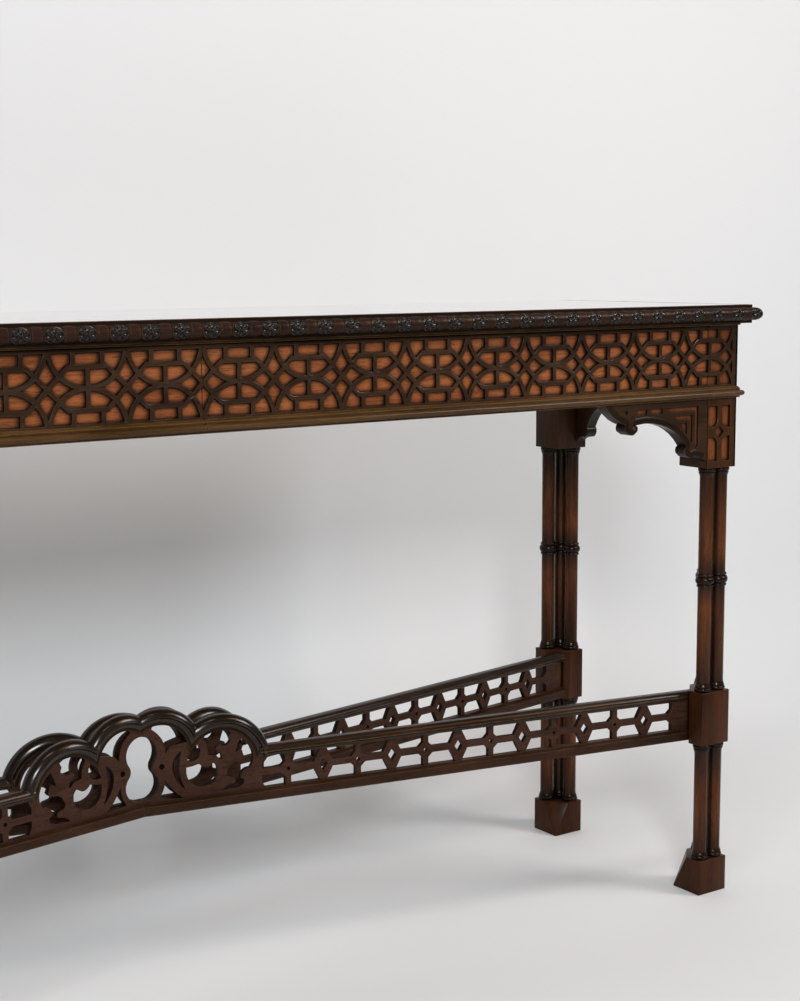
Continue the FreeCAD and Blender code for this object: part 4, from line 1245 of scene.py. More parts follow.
    def end_rails(self) -> None:
        """Make the two end rails."""
        low, high, fret = self.rail_low, self.rail_high, self.fret
        y_low, y_high = self.post_high.y, self.rear_low.y
        count = round((y_high - y_low) / fret.pitch)
        stretch = (y_high - y_low) / (count * fret.pitch)
        half = fret.pitch / 2.0
        whole = fret.unit(high.z - self.crossing, self.below, -half, half)
        row = self.shop.row.lay(whole, count, (half, 0.0, self.crossing), (fret.pitch, 0.0, 0.0),
                                self.shop.timber[Finish.FRET])
        row.transform(moved(high.x, y_low, 0.0) @ QUARTER_TURN @ mirrored(stretch))
        face = high.x - fret.depth
        core = block((low.x, y_low, low.z), (face - self.sheet, y_high, high.z), self.RAIL_ARRIS)
        ground = block((face - self.rail_ground, y_low, low.z), (face, y_high, high.z), self.RAIL_ARRIS)
        for side, name in SIDES:
            across = mirrored(side)
            self.shop.assemble(f"end_rail_{name}_fretted", [
                (core, Finish.POST, across), (ground, Finish.GROUND, across), (row, Finish.FRET, across),
            ], "fretted_mahogany", f"side_rail_{name}")

    def build(self) -> None:
        """Make the fretted faces."""
        self.drawer_fronts()
        self.posts()
        self.end_rails()


# ---------------------------------------------------------------- brackets
@dataclass
class Brackets:
    """The shaped brackets: a beaded lower edge round small sunk panels."""

    PELLET_STEPS = 14

    shop: Workshop
    drawn_size: Point = (211.0, 88.3)                   # the length and height that they are drawn to
    sunk: float = 2.6
    face_arris: float = 0.5
    sheet: float = 0.3           # how far the panels' ground stands off the core
    lap: float = 0.1             # and goes into it
    bead: float = 4.6            # half its width
    bead_top: float = 0.4        # how far it ends below the bracket's top
    bead_section: tuple[Point, ...] = ((0.0, 0.6), (0.0, -0.7), (0.35, -1.3), (1.0, -1.6), (1.65, -1.3),
                                       (2.0, -0.4), (2.0, 0.6))     # in half widths, and out in mm
    lightened: float = 0.74      # share of the solid's thickness left after the back is planed away
    pellet: tuple[float, float, float] = (154.5, 10.8, 3.0)     # out, down, radius
    outline: Outline = field(default_factory=lambda: [
        (0.0, 0.0), (192.5, 0.0), ((186.5, 8.6), (180.5, 13.6)), ((169.0, 22.0), (155.5, 28.0)),
        ((157.0, 34.5), (151.5, 39.6)), ((144.5, 42.5), (137.0, 39.0)), ((133.8, 34.0), (137.5, 29.0)),
        ((112.0, 27.6), (89.4, 31.6)), ((62.4, 43.4), (40.5, 64.5)), ((44.5, 70.5), (41.0, 76.5)),
        ((34.0, 80.5), (26.0, 78.5)), ((13.0, 82.0), (0.0, 88.3))])
    panels: tuple[Outline, ...] = (
        [(116.0, 8.0), (135.0, 8.0), (135.0, 15.5), (116.0, 15.5)],
        [(87.0, 8.0), (108.0, 8.0), (108.0, 16.0), (87.0, 16.0)],
        [(80.0, 8.5), (18.0, 8.5), (18.0, 64.0), (24.0, 69.0), (24.0, 15.5), (72.0, 15.5)],
        [(66.0, 20.0), (29.5, 20.0), (29.5, 60.0), (35.0, 54.0), (35.0, 26.5), (57.0, 26.5)],
        [(51.0, 31.0), (40.0, 31.0), (40.0, 48.0), (45.0, 42.0)],
    )

    def placed_outline(self, outline: Outline, scale: tuple[float, float]) -> list[Point]:
        """An outline's points, scaled, with drops turned to heights."""
        return [(along * scale[0], -drop * scale[1]) for along, drop in drawn(outline)]

    def beading(self, path: Sequence[Point]) -> bpy.types.Mesh:
        """Run the bead along the lower edge.

        Args:
            path: the edge from tip to post.

        Returns:
            The mesh.
        """
        rings = []
        for index, (along, rise) in enumerate(path):
            left = left_of(path, index)
            rings.append([Vector((along - left[0] * share * self.bead, out,
                                  min(rise - left[1] * share * self.bead, -self.bead_top))) * MM
                          for share, out in self.bead_section])
        return skin(rings)

    def bracket(self, length: float, height: float, thickness: float) -> list[tuple[bpy.types.Mesh, Finish]]:
        """Make a bracket along +X from its post, its front at Y = 0 and its top at Z = 0.

        Args:
            length: from the post to the tip.
            height: its height at the post.
            thickness: its thickness.

        Returns:
            The core, the panelled face, the bead and the ground of the panels.
        """
        scale = (length / self.drawn_size[0], height / self.drawn_size[1])
        edge = self.placed_outline(self.outline, scale)
        panels = [self.placed_outline(panel, scale) for panel in self.panels]
        away, down, radius = self.pellet
        pellet = circle((away * scale[0], -down * scale[1]), radius, self.PELLET_STEPS)
        core = Stencil([edge]).board(thickness * self.lightened - self.sunk)
        core.transform(moved(0.0, self.sunk, 0.0))
        ground = Stencil(panels).board(self.sheet + self.lap)
        ground.transform(moved(0.0, self.sunk - self.sheet, 0.0))
        face = Stencil([edge], [*panels, pellet]).board(self.sunk, self.face_arris)
        lower_edge = edge[2:-1]
        return [(core, Finish.FRET), (face, Finish.FRET), (self.beading(lower_edge), Finish.TORUS),
                (ground, Finish.SUNK)]

    def build(self) -> None:
        """Make the six brackets."""
        low, high = mm_box("bracket_front_right")
        side_low, side_high = mm_box("bracket_side_front_right")
        _, rear_high = mm_box("bracket_side_rear_right")
        long = self.bracket(high.x - low.x, high.z - low.z, high.y - low.y)
        short = self.bracket(side_high.y - side_low.y, side_high.z - side_low.z, side_high.x - side_low.x)
        long_spots = (("front", long, moved(high.x, low.y, high.z) @ mirrored(-1)),)
        short_spots = (
            ("side_front", short, moved(side_high.x, side_low.y, side_high.z) @ QUARTER_TURN),
            ("side_rear", short, moved(rear_high.x, rear_high.y, rear_high.z) @ QUARTER_TURN @ mirrored(-1)))
        for spots in (long_spots, short_spots):
            for side, name in SIDES:
                for stem, parts, place in spots:
                    node = f"bracket_{stem}_{name}"
                    self.shop.assemble(node + "_carved", [(mesh, finish, mirrored(side) @ place)
                                                          for mesh, finish in parts],
                                       "fretted_mahogany", node)


# ---------------------------------------------------------------- legs
@dataclass
class ClusterLeg:
    """A leg of three slim turned columns in two lifts, with its blocks."""

    shop: Workshop
    shaft: float = 10.2
    spacing: float = 26.6
    base_height: float = 15.0
    torus_bulge: float = 2.9
    torus_height: float = 6.4
    fillet: Point = (1.9, 1.0)                          # how far it stands out, and its height
    quirk: float = 0.3           # the small step at a fillet and at the root of a ring
    hollow_curve: float = 2.2    # larger draws the hollow in sooner
    annulet_half: float = 10.0
    outer_ring: Point = (4.2, 1.6)                      # height and bulge
    middle_bulge: float = 3.4
    ring_gap: float = 0.4
    plain_half: Point = (20.0, 40.0)                    # red part's half length, lower and upper column
    dirt_and_shade_reach: float = 34.0   # how far the dirt and painted shade run from a ring
    dirt_and_shade_depth: float = 0.97   # 1 is all black
    dirt_and_shade_fall: float = 0.6     # smaller keeps the black for longer
    blackest: float = 4.0        # from a block to where the dirt and painted shade are blackest
    block_arris: float = 1.0

    def bead(self, root: float, bulge: float, low: float, high: float) -> list[Point]:
        """Points up a half-round bead.

        Args:
            root: the radius that it springs from.
            bulge: how far it stands out.
            low: its lower edge.
            high: its upper edge.

        Returns:
            (radius, height) points.
        """
        steps = 7
        middle, half = (low + high) / 2.0, (high - low) / 2.0
        turns = [-math.pi / 2.0 + math.pi * step / steps for step in range(steps + 1)]
        return [(root + bulge * math.cos(turn), middle + half * math.sin(turn)) for turn in turns]

    def base(self, low: float) -> list[Point]:
        """A base: a torus, a fillet and a hollow up to the shaft.

        Args:
            low: the height of its foot.

        Returns:
            (radius, height) points.
        """
        points = self.bead(self.shaft, self.torus_bulge, low, low + self.torus_height)
        stand, height = self.fillet
        fillet_low = low + self.torus_height + self.quirk
        fillet_high = fillet_low + height
        points += [(self.shaft + stand, fillet_low), (self.shaft + stand, fillet_high)]
        hollow = low + self.base_height - fillet_high
        return points + [(self.shaft + stand * (1.0 - share) ** self.hollow_curve,
                          fillet_high + hollow * share) for share in (0.2, 0.4, 0.6, 0.8, 1.0)]

    def column(self, low: float, high: float, with_annulet: bool) -> bpy.types.Mesh:
        """One turned column about Z.

        Args:
            low: its foot.
            high: its top.
            with_annulet: whether it has a triple ring half way up.

        Returns:
            The mesh.
        """
        points = self.base(low)
        middle, plain = (low + high) / 2.0, self.plain_half[with_annulet]
        points.append((self.shaft, middle - plain))
        if with_annulet:
            root, half = self.shaft + self.quirk, self.annulet_half
            height, bulge = self.outer_ring
            inner = half - height - self.ring_gap
            points.append((self.shaft, middle - half))
            points += self.bead(root, bulge, middle - half, middle - half + height)
            points += self.bead(root, self.middle_bulge, middle - inner, middle + inner)
            points += self.bead(root, bulge, middle + half - height, middle + half)
            points.append((self.shaft, middle + half))
        points.append((self.shaft, middle + plain))
        return turned(points + [(radius, low + high - height) for radius, height in reversed(self.base(low))])

    def dirtied_and_shaded(self, piece: bpy.types.Object, rings: Sequence[float]) -> None:
        """Darken the wood towards the blocks and rings with dirt and painted shade.

        Args:
            piece: the columns.
            rings: the heights where the dark is deepest.
        """
        layer = piece.data.attributes.new("age", "FLOAT", "POINT")
        dirt_and_shade_values = []
        for vert in piece.data.vertices:
            gap = min(abs(vert.co.z / MM - ring) for ring in rings)
            dirt_and_shade_values.append(self.dirt_and_shade_depth * max(0.0, 1.0 - gap / self.dirt_and_shade_reach) ** self.dirt_and_shade_fall)
        layer.data.foreach_set("value", dirt_and_shade_values)

    def build(self) -> None:
        """Make the four legs."""
        foot_low, foot_high = mm_box("foot_front_right")
        block_low, block_high = mm_box("stretcher_block_front_right")
        post_low, _ = mm_box("post_front_right")
        _, rear_high = mm_box("foot_rear_right")
        columns = (self.column(block_high.z, post_low.z, True), self.column(foot_high.z, block_low.z, False))
        # heights where the columns' dirt and painted shade are deepest
        rings = [foot_high.z + self.blackest, block_low.z - self.blackest, block_high.z + self.blackest,
                 (block_high.z + post_low.z) / 2.0, post_low.z - self.blackest]
        middle = (foot_low + foot_high) / 2.0
        rear_y = rear_high.y - (foot_high.y - middle.y)
        half, shaft = self.spacing / 2.0, self.shop.timber[Finish.SHAFT]
        for side, name in SIDES:
            for end, y, way in (("front", middle.y, -1.0), ("rear", rear_y, 1.0)):
                piece = Piece(f"columns_{end}_{name}_turned")
                # two columns stand at the end of the table and one inside them
                stands = ((2, middle.x + half, y - half), (1, middle.x - half, y + way * half))
                for column in columns:
                    for count, x, y_first in stands:
                        piece.add(self.shop.row.lay(column, count, (side * x, y_first, 0.0),
                                                    (0.0, self.spacing, 0.0), shaft), shaft)
                self.dirtied_and_shaded(piece.fit("root", "turned_mahogany", [f"columns_{end}_{name}"]), rings)
                for stem in ("foot", "stretcher_block"):
                    node = f"{stem}_{end}_{name}"
                    self.shop.assemble(node + "_squared",
                                       [(softened(node, self.block_arris), Finish.BLOCK, Matrix())],
                                       "turned_mahogany", node)


# ---------------------------------------------------------------- stretcher
@dataclass
class SaltireStretcher:
    """The X stretcher: four pierced arms under moulded rails, meeting in a pierced crest."""

    RAIL_OVERRUN = 20.0          # rails and board run past their mitres before they are trimmed
    ARCH_STEP = 5.0              # degrees between the rings of an arch
    DISC_STEPS = 48
    HOLE_STEPS = 16
    SMALL_HOLE_STEPS = 12

    shop: Workshop
    thickness: float = 23.8
    panel: float = 7.6           # thinned from behind so that the piercing looks light
    panel_arris: float = 0.6
    panel_lap: float = 4.0       # how far the board runs into its rails
    half_height: float = 36.1
    rail: float = 14.7
    arch_rail: float = 16.4      # the rail grows over the arches
    arch_fillet: float = 4.6     # and gets a flat fillet under it
    fillet_lap: float = 0.8
    upper_side: tuple[Point, ...] = ((0.42, 0.0), (0.48, 3.2), (0.66, 5.6), (0.97, 6.7), (0.97, 7.4),
                                     (0.88, 7.9))       # share of half the thickness, and height
    upper_roll: Point = (0.66, 12.6)
    lower_side: tuple[Point, ...] = ((0.4, 0.0), (0.55, 1.9), (1.0, 3.0))
    lower_foot: tuple[Point, ...] = ((1.0, 1.4), (0.95, 1.2), (0.95, 0.0))      # share, and rise from it
    bar_half: float = 4.3
    bay_slope: Point = (4.8, 13.4)                      # a diamond's half width at the rail and at the bar
    bay_lap: float = 3.0         # how far an opening runs behind the rail
    upright: float = 0.95        # half the width of a rosette's uprights, in half bars
    notch: float = 2.44          # its corners, in half bars
    diamond: Point = (6.0, 9.2)
    rosette_hole: float = 2.8
    motif_pitch: float = 50.3
    solid_end: float = 33.4
    last_bay: float = 46.5
    first_rosette: float = 200.7
    first_upright: Point = (4.1, 10.5)                  # the first rosette's upright and its corner
    first_bay: float = 164.0     # where the opening beside the ring starts, at the bar
    first_bay_slope: Point = (6.0, 9.0)                 # and how far it leans back to the rail
    ring: tuple[float, float, float] = (108.0, 15.4, 52.5)      # along, rise, radius under its arch
    ring_turns: Point = (1.5, 150.0)                    # degrees from its springing, and its end
    arch: tuple[float, float, float] = (25.6, 39.9, 44.2)
    arch_turns: Point = (-5.0, 134.0)
    boss: tuple[float, float, float, float] = (28.5, 24.3, 12.4, 3.8)   # along, rise, radius, hole
    lobes: tuple[Point, ...] = ((44.2, 22.8), (9.1, 24.7))      # rise and radius of the eye's two lobes
    lobe_sides: tuple[Point, ...] = ((0.92, 0.39), (0.985, -0.17))      # where they are widest, in radii
    lobe_joints: tuple[Point, ...] = ((18.6, 7.4), (19.6, -8.6))        # where a boss cuts them
    openings: tuple[Outline, ...] = (
        [(15.7, 74.5), ((28.9, 61.3), (33.4, 40.2)), ((39.5, 48.0), (48.3, 51.1)), (62.7, 53.3),
         ((50.8, 71.2), (25.2, 80.9)), ((18.4, 79.2), (15.7, 74.5))],
        [(55.0, 42.5), ((46.5, 35.0), (42.5, 18.0)), ((46.8, 4.5), (59.0, -9.5)),
         ((52.0, 16.0), (55.0, 42.5))],
        [(32.5, 8.5), ((30.4, -5.5), (23.5, -17.5)), (56.0, -20.5), ((43.0, -8.5), (32.5, 8.5))],
        [(84.0, 54.0), ((91.0, 61.5), (103.0, 64.0)), ((113.5, 63.0), (122.0, 58.5)), (119.0, 53.0),
         (121.0, 48.0), ((115.0, 42.0), (106.0, 44.0)), (101.0, 40.5), (103.0, 35.5), (108.0, 32.0),
         (109.5, 25.5), (107.0, 24.0), ((102.5, 29.0), (96.0, 31.0)), (90.0, 32.5),
         ((89.5, 43.0), (84.0, 54.0))],
        [(76.0, 48.5), ((80.0, 40.0), (76.5, 29.5)), ((70.0, 26.5), (61.5, 27.5)),
         ((67.0, 39.0), (76.0, 48.5))],
        [(61.0, 19.0), (70.0, 20.0), (78.0, 22.0), ((81.0, 19.0), (85.0, 16.5)), ((91.5, 16.5), (96.0, 21.0)),
         ((101.5, 17.0), (103.0, 10.0)), ((99.5, -2.0), (88.0, -8.0)), ((70.0, -4.5), (61.0, 12.0))],
        [(135.0, 49.5), ((130.5, 40.0), (127.5, 29.5)), ((132.5, 33.5), (137.0, 33.0)), (138.0, 28.5),
         (140.0, 24.5), ((136.5, 20.0), (131.0, 19.0)), ((123.0, 17.0), (118.0, 11.0)),
         ((115.5, 5.0), (116.5, 1.0)), (123.0, -1.5), ((127.5, -5.0), (122.0, -10.0)),
         ((116.0, -12.0), (109.0, -17.5)), ((120.0, -16.5), (130.0, -16.5)), (138.0, -13.0), (139.5, -7.0),
         (134.0, -3.5), ((137.0, 4.0), (147.5, 8.0)), ((152.0, 18.0), (150.0, 32.0)),
         ((144.0, 42.5), (135.0, 49.5))],
    )

    def __post_init__(self) -> None:
        """Work out the arm's run from the solids it meets."""
        block_low, block_high = mm_box("stretcher_block_front_right")
        side_low, _ = mm_box("stretcher_rear_right")
        _, front_high = mm_box("stretcher_front_right")
        self.y_middle = (side_low.y + front_high.y) / 2.0
        half = (block_high.x - block_low.x) / 2.0
        self.leg_end = ((block_low.x + block_high.x) / 2.0 - half / 2.0,
                        (block_low.y + block_high.y) / 2.0 + half / 2.0)
        self.z_middle = (block_low.z + block_high.z) / 2.0
        run = (self.leg_end[0], self.leg_end[1] - self.y_middle)
        self.length = math.hypot(*run)
        self.angle = math.degrees(math.atan2(run[1], run[0]))

    def bay(self, u_diamond: float, u_rosette: float) -> list[list[Point]]:
        """The two openings between a diamond and a rosette.

        Args:
            u_diamond: the diamond's middle.
            u_rosette: the rosette's middle.

        Returns:
            The loops above and below the middle bar.
        """
        way = 1.0 if u_rosette > u_diamond else -1.0
        edge = self.half_height - self.rail
        at_rail, at_bar = (u_diamond + way * slope for slope in self.bay_slope)
        upright, notch = (share * self.bar_half for share in (self.upright, self.notch))
        return [[(at_rail, side * (edge + self.bay_lap)),
                 (u_rosette - way * upright, side * (edge + self.bay_lap)),
                 (u_rosette - way * upright, side * notch), (u_rosette - way * notch, side * self.bar_half),
                 (at_bar, side * self.bar_half), (at_rail, side * edge)] for side in (1.0, -1.0)]

    def crest_holes(self) -> list[list[Point]]:
        """Draw the crest's openings: the eye, the leaf work, the boss's hole and the bay beside the ring.

        Returns:
            The loops.
        """
        along, rise, _, hole = self.boss
        edge = self.half_height - self.rail
        behind = edge + self.bay_lap
        upright, corner = self.first_upright
        forward, back = self.first_bay_slope
        loops = [self.eye(), *(drawn(outline) for outline in self.openings),
                 circle((along, rise), hole, self.HOLE_STEPS)]
        for side in (1.0, -1.0):
            loops.append([(self.first_bay + forward, side * behind),
                          (self.first_rosette - upright, side * behind),
                          (self.first_rosette - upright, side * corner),
                          (self.first_rosette - corner, side * self.bar_half),
                          (self.first_bay, side * self.bar_half), (self.first_bay, side * (edge - back))])
        return loops

    def pattern(self) -> Stencil:
        """Draw the whole arm's pierced board, along and up from the stretcher's middle.

        Returns:
            The pattern.
        """
        inner = self.half_height - self.rail + self.panel_lap
        stencil = Stencil(holes=self.crest_holes())
        stencil.rectangle((-self.RAIL_OVERRUN, -inner), (self.length + self.RAIL_OVERRUN, inner))
        for along, rise, radius in (self.ring, self.arch):
            disc = circle((along, rise), radius + self.panel_lap, self.DISC_STEPS)
            stencil.plates.append([point for point in disc if point[1] > -inner])
        last_diamond = self.length - self.solid_end - self.last_bay
        run = last_diamond - self.first_rosette
        steps = 2 * round((run / self.motif_pitch - 1) / 2.0) + 1
        pitch = run / steps
        half_width, half_height = self.diamond
        for step in range(steps + 1):
            middle = self.first_rosette + step * pitch
            if step % 2:
                stencil.holes.append([(middle - half_width, 0.0), (middle, -half_height),
                                      (middle + half_width, 0.0), (middle, half_height)])
                # the last bay runs to the solid end, where there is no rosette
                following = middle + pitch if step < steps else self.length - self.solid_end + self.panel_lap
                stencil.holes += self.bay(middle, middle - pitch) + self.bay(middle, following)
            else:
                stencil.holes.append(circle((middle, 0.0), self.rosette_hole, self.SMALL_HOLE_STEPS))
        return stencil

    def eye(self) -> list[Point]:
        """Draw the figure-eight opening on the middle line, with the two bosses standing into it.

        Returns:
            Its loop.
        """
        (high_rise, high), (low_rise, low) = self.lobes
        along, rise, radius, _ = self.boss
        high_side, low_side = ((lobe * side[0], lobe_rise + lobe * side[1])
                               for (lobe_rise, lobe), side in zip(self.lobes, self.lobe_sides))
        high_joint, low_joint = ((joint[0], rise + joint[1]) for joint in self.lobe_joints)
        right = drawn([(0.0, high_rise + high), (high_side, high_joint), ((along - radius, rise), low_joint),
                       (low_side, (0.0, low_rise - low))])
        return right + [(-x, y) for x, y in reversed(right[1:-1])]

    def rail_section(self, rail: float, below: bool = False) -> list[Point]:
        """A moulded rail's section.

        Args:
            rail: its height.
            below: whether it is the lower rail, which is square with a hollow over it.

        Returns:
            (across, height) points, the height measured from the pierced board outwards.
        """
        half = self.thickness / 2.0
        if below:
            side = [(share * half, height) for share, height in self.lower_side]
            side += [(share * half, rail - rise) for share, rise in self.lower_foot]
            crown = []
        else:
            side = [(share * half, height) for share, height in self.upper_side]
            side += arc_points(side[-1], (self.upper_roll[0] * half, self.upper_roll[1]), (0.0, rail))[:-1]
            crown = [(0.0, rail)]
        return [*side, *crown, *((-across, height) for across, height in reversed(side))]

    def straight(self, start: float, stop: float, inner: float, below: bool = False) -> bpy.types.Mesh:
        """A straight stretch of rail.

        Args:
            start: where it starts, along the arm.
            stop: where it stops.
            inner: the height of its side towards the board.
            below: whether it is the lower rail.

        Returns:
            The mesh.
        """
        way = -1.0 if below else 1.0
        return skin([[Vector((along, across, inner + way * height)) * MM
                      for across, height in self.rail_section(self.rail, below)] for along in (start, stop)])

    def arched(self, arch: tuple[float, float, float], first: float, last: float,
               section: Sequence[Point]) -> bpy.types.Mesh:
        """A moulding carried over an arch.

        Args:
            arch: its centre along and up, and the radius of the rail's underside.
            first: where it starts, in degrees.
            last: where it ends.
            section: the moulding's (across, height) points, from the rail's underside outwards.

        Returns:
            The mesh.
        """
        along, rise, radius = arch
        steps = math.ceil((last - first) / self.ARCH_STEP)
        turns = [math.radians(first + (last - first) * step / steps) for step in range(steps + 1)]
        return skin([[Vector((along + (radius + height) * math.cos(turn), across,
                              rise + (radius + height) * math.sin(turn))) * MM for across, height in section]
                     for turn in turns])

    def valley(self, grown: float) -> Point:
        """Where the ring's arch and the middle arch cross.

        Args:
            grown: how far outside their undersides.

        Returns:
            The crossing, along and up.
        """
        (x1, z1, r1), (x2, z2, r2) = self.ring, self.arch
        r1, r2 = r1 + grown, r2 + grown
        gap = math.dist((x1, z1), (x2, z2))
        near = (r1 * r1 - r2 * r2 + gap * gap) / (2.0 * gap)
        rise = math.sqrt(r1 * r1 - near * near)
        way = ((x2 - x1) / gap, (z2 - z1) / gap)
        return x1 + way[0] * near + way[1] * rise, z1 + way[1] * near - way[0] * rise

    def arm_parts(self) -> list[tuple[bpy.types.Mesh, Finish]]:
        """Make the parts of the front right arm, trimmed to its mitres.

        Returns:
            The parts with their finishes.
        """
        board = self.pattern().board(self.panel, self.panel_arris, both_sides=True)
        board.transform(moved(0.0, -self.panel / 2.0, 0.0))
        edge, stop = self.half_height - self.rail, self.length + self.RAIL_OVERRUN
        springing = math.asin((edge - self.ring[1]) / self.ring[2])
        foot = self.ring[0] + self.ring[2] * math.cos(springing)
        low, high = self.valley(0.0), self.valley(self.arch_rail)
        corner = (low[0] * MM, 0.0, low[1] * MM)
        mitre = Vector((high[1] - low[1], 0.0, low[0] - high[0])).normalized()
        roll = self.rail_section(self.arch_rail)
        width, lap = roll[0][0], self.fillet_lap
        fillet = [(width, -self.arch_fillet), (width, lap), (-width, lap), (-width, -self.arch_fillet)]
        parts = [(board, Finish.PIERCED),
                 (self.straight(-self.RAIL_OVERRUN, stop, -edge, below=True), Finish.PLINTH),
                 (self.straight(foot, stop, edge), Finish.RAIL)]
        ring_start = math.degrees(springing) + self.ring_turns[0]
        for section, finish in ((roll, Finish.ARCH), (fillet, Finish.TORUS)):
            over_ring = self.arched(self.ring, ring_start, self.ring_turns[1], section)
            over_middle = self.arched(self.arch, *self.arch_turns, section)
            parts += [(trimmed(over_ring, corner, -mitre), finish),
                      (trimmed(over_middle, corner, mitre), finish)]
        lay = moved(0.0, self.y_middle, self.z_middle) @ Matrix.Rotation(math.radians(self.angle), 4, "Z")
        # the two middle lines of the table, and the leg's inner corner
        cuts = (((0.0, 0.0, 0.0), (-1.0, 0.0, 0.0)), ((0.0, self.y_middle * MM, 0.0), (0.0, 1.0, 0.0)),
                ((self.leg_end[0] * MM, self.leg_end[1] * MM, 0.0), (1.0, -1.0, 0.0)))
        for mesh, _ in parts:
            mesh.transform(lay)
            for point, outward in cuts:
                trimmed(mesh, point, outward)
        return parts

    def build(self) -> None:
        """Make the four arms."""
        parts = self.arm_parts()
        flip = moved(0.0, 2.0 * self.y_middle, 0.0) @ mirrored(1.0, -1.0)
        for side, name in SIDES:
            for end, place in (("front", mirrored(side)), ("rear", mirrored(side) @ flip)):
                self.shop.assemble(f"stretcher_{end}_{name}_pierced",
                                   [(mesh, finish, place) for mesh, finish in parts],
                                   "pierced_mahogany", f"stretcher_{end}_{name}")


# ---------------------------------------------------------------- room
@dataclass(frozen=True)
class SoftLamp:
    """A soft rectangular lamp, in metres."""

    name: str
    size: Point
    place: tuple[float, float, float]
    aim: tuple[float, float, float]
    watts: float
    colour: str = "#ffffff"

    def hang(self) -> None:
        """Hang the lamp and turn it to the point it faces."""
        data = bpy.data.lights.new(self.name, "AREA")
        data.shape = "RECTANGLE"
        data.size, data.size_y = self.size
        data.energy = self.watts
        data.color = linear(self.colour)[:3]
        lamp = bpy.data.objects.new(self.name, data)
        lamp.location = self.place
        lamp.rotation_mode = "QUATERNION"
        lamp.rotation_quaternion = (Vector(self.aim) - Vector(self.place)).to_track_quat("-Z", "Y")
        bpy.context.scene.collection.objects.link(lamp)


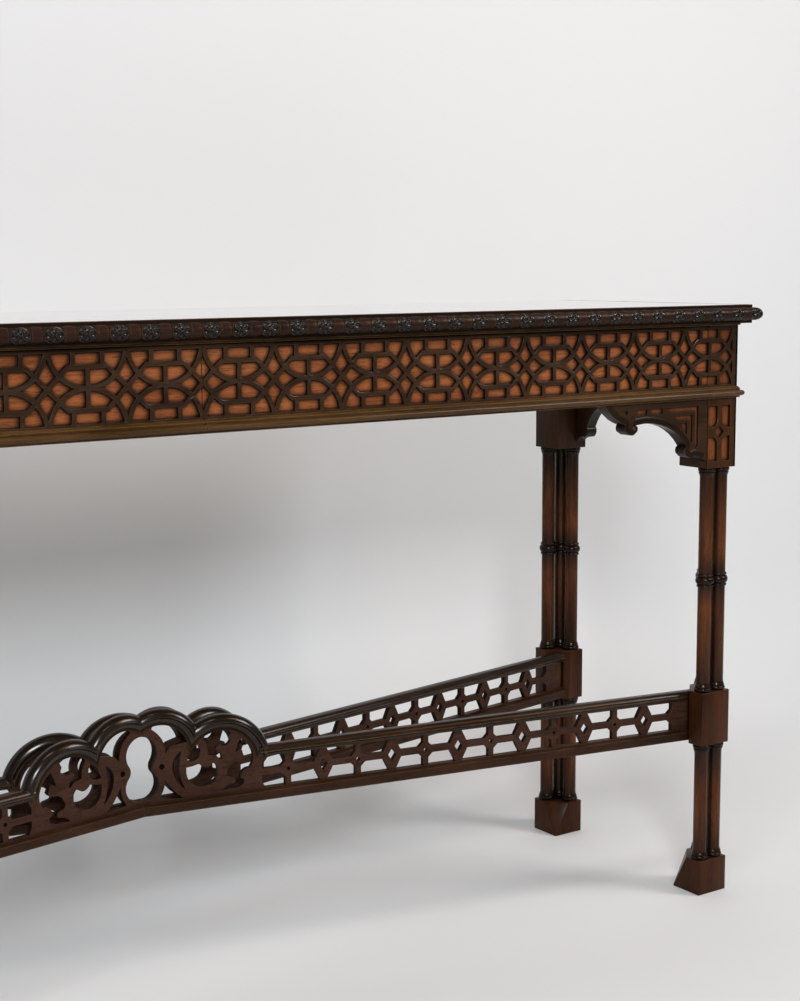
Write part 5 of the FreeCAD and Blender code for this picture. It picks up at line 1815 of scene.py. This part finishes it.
@dataclass
class Studio:
    """Pale floor and backdrop, soft light, and the camera."""

    camera_place: tuple[float, float, float] = (-941.1, -1926.8, 927.9)
    camera_turn: tuple[float, float, float] = (82.083, 0.283, -34.962)     # degrees
    lens: float = 61.84
    sensor: float = 36.0
    sweep_colour: str = "#e2e5e7"
    sweep_half: float = 9.0      # half its width, in metres as all its sizes are
    floor_front: float = -7.0
    wall_place: float = 0.62     # behind the table's middle
    wall_curve: float = 0.28
    wall_top: float = 6.0
    air_colour: str = "#e6e8ea"
    air_strength: float = 0.2
    lamps: tuple[SoftLamp, ...] = (
        SoftLamp("key", size=(0.9, 0.7), place=(-1.35, -3.1, 2.1), aim=(0.0, 0.2, 0.5), watts=76.0),
        SoftLamp("overhead", size=(1.0, 0.6), place=(-0.3, -1.0, 2.9), aim=(0.0, -0.1, 0.3), watts=15.0),
        SoftLamp("right_window", size=(1.0, 0.8), place=(2.4, -1.8, 2.2), aim=(0.9, 0.5, 0.5), watts=36.0),
        SoftLamp("warm_strip", size=(1.3, 0.2), place=(1.5, -1.2, 2.3), aim=(0.2, -0.1, 0.3), watts=6.0,
                 colour="#ffb45a"),
    )

    def surface(self, name: str, colour: str) -> bpy.types.Material:
        """A plain matt surface, clear from behind so that the wall never hides the table's back.

        Args:
            name: the material's name.
            colour: its colour in hex.

        Returns:
            The material.
        """
        material = bpy.data.materials.new(name)
        material.use_nodes = True
        tree = material.node_tree
        tree.nodes.clear()
        paper = add_node(tree, "ShaderNodeBsdfPrincipled", {"Base Color": linear(colour), "Roughness": 0.8})
        clear = add_node(tree, "ShaderNodeBsdfTransparent")
        behind = add_node(tree, "ShaderNodeNewGeometry").outputs["Backfacing"]
        one_sided = add_node(tree, "ShaderNodeMixShader", {},
                             {0: behind, 1: paper.outputs[0], 2: clear.outputs[0]})
        add_node(tree, "ShaderNodeOutputMaterial", {}, {"Surface": one_sided.outputs[0]})
        return material

    def sweep(self) -> None:
        """Lay the floor and carry it up into the wall."""
        near = self.wall_place - self.wall_curve
        turns = [math.radians(degrees) for degrees in range(0, 91, 9)]
        curve = [(near + self.wall_curve * math.sin(turn), self.wall_curve * (1.0 - math.cos(turn)))
                 for turn in turns]
        bm = bmesh.new()
        rows = [[bm.verts.new((x, y, z)) for x in (-self.sweep_half, self.sweep_half)]
                for y, z in [(self.floor_front, 0.0), *curve, (self.wall_place, self.wall_top)]]
        for row, following in zip(rows, rows[1:]):
            bm.faces.new([row[0], row[1], following[1], following[0]]).smooth = True
        cloth = bpy.data.objects.new("backdrop", to_mesh(bm, "backdrop"))
        cloth.data.materials.append(self.surface("pale_studio_sweep", self.sweep_colour))
        bpy.context.scene.collection.objects.link(cloth)

    def build(self) -> None:
        """Lay the floor, light the room and set the camera."""
        scene = bpy.context.scene
        scene.view_settings.view_transform = "Standard"
        self.sweep()
        world = bpy.data.worlds.new("soft_room")
        world.use_nodes = True
        air = world.node_tree.nodes["Background"].inputs
        air["Color"].default_value = linear(self.air_colour)
        air["Strength"].default_value = self.air_strength
        scene.world = world
        for lamp in self.lamps:
            lamp.hang()
        data = bpy.data.cameras.new("camera")
        data.lens = self.lens
        data.sensor_width = self.sensor
        camera = bpy.data.objects.new("camera", data)
        camera.location = Vector(self.camera_place) * MM
        camera.rotation_euler = [math.radians(angle) for angle in self.camera_turn]
        scene.collection.objects.link(camera)
        scene.camera = camera


# ---------------------------------------------------------------- solids that stay
class KeptSolids:
    """The solids whose own shape is right, given their timber."""

    MOULDINGS = ("cock_beads", "frieze_moulding_left", "frieze_moulding_right", "drawer_left_moulding",
                 "drawer_right_moulding")
    FINISHES = {"top_board": Finish.TOP, **dict.fromkeys(MOULDINGS, Finish.EDGE)}

    def __init__(self, shop: Workshop, nodes: dict[str, bpy.types.Object]) -> None:
        """Keep the finishes and the solids."""
        self.shop = shop
        self.nodes = nodes

    def build(self) -> None:
        """Give each solid its material."""
        for name, node in self.nodes.items():
            finish = self.FINISHES.get(name)
            material = self.shop.timber[finish] if finish else self.shop.oak
            node.data.materials.clear()
            node.data.materials.append(material)
        LOG.info("%d solids dressed", len(self.nodes))


def main() -> None:
    """Dress the table, piece by piece."""
    logging.basicConfig(level=logging.INFO, format="%(name)s %(message)s")
    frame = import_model()
    shop = Workshop.opened()
    Studio().build()
    KeptSolids(shop, frame["nodes"]).build()
    for assembly in (CarvedTop(shop), Frieze(shop), Brackets(shop), ClusterLeg(shop), SaltireStretcher(shop)):
        assembly.build()


if __name__ == "__main__":
    main()
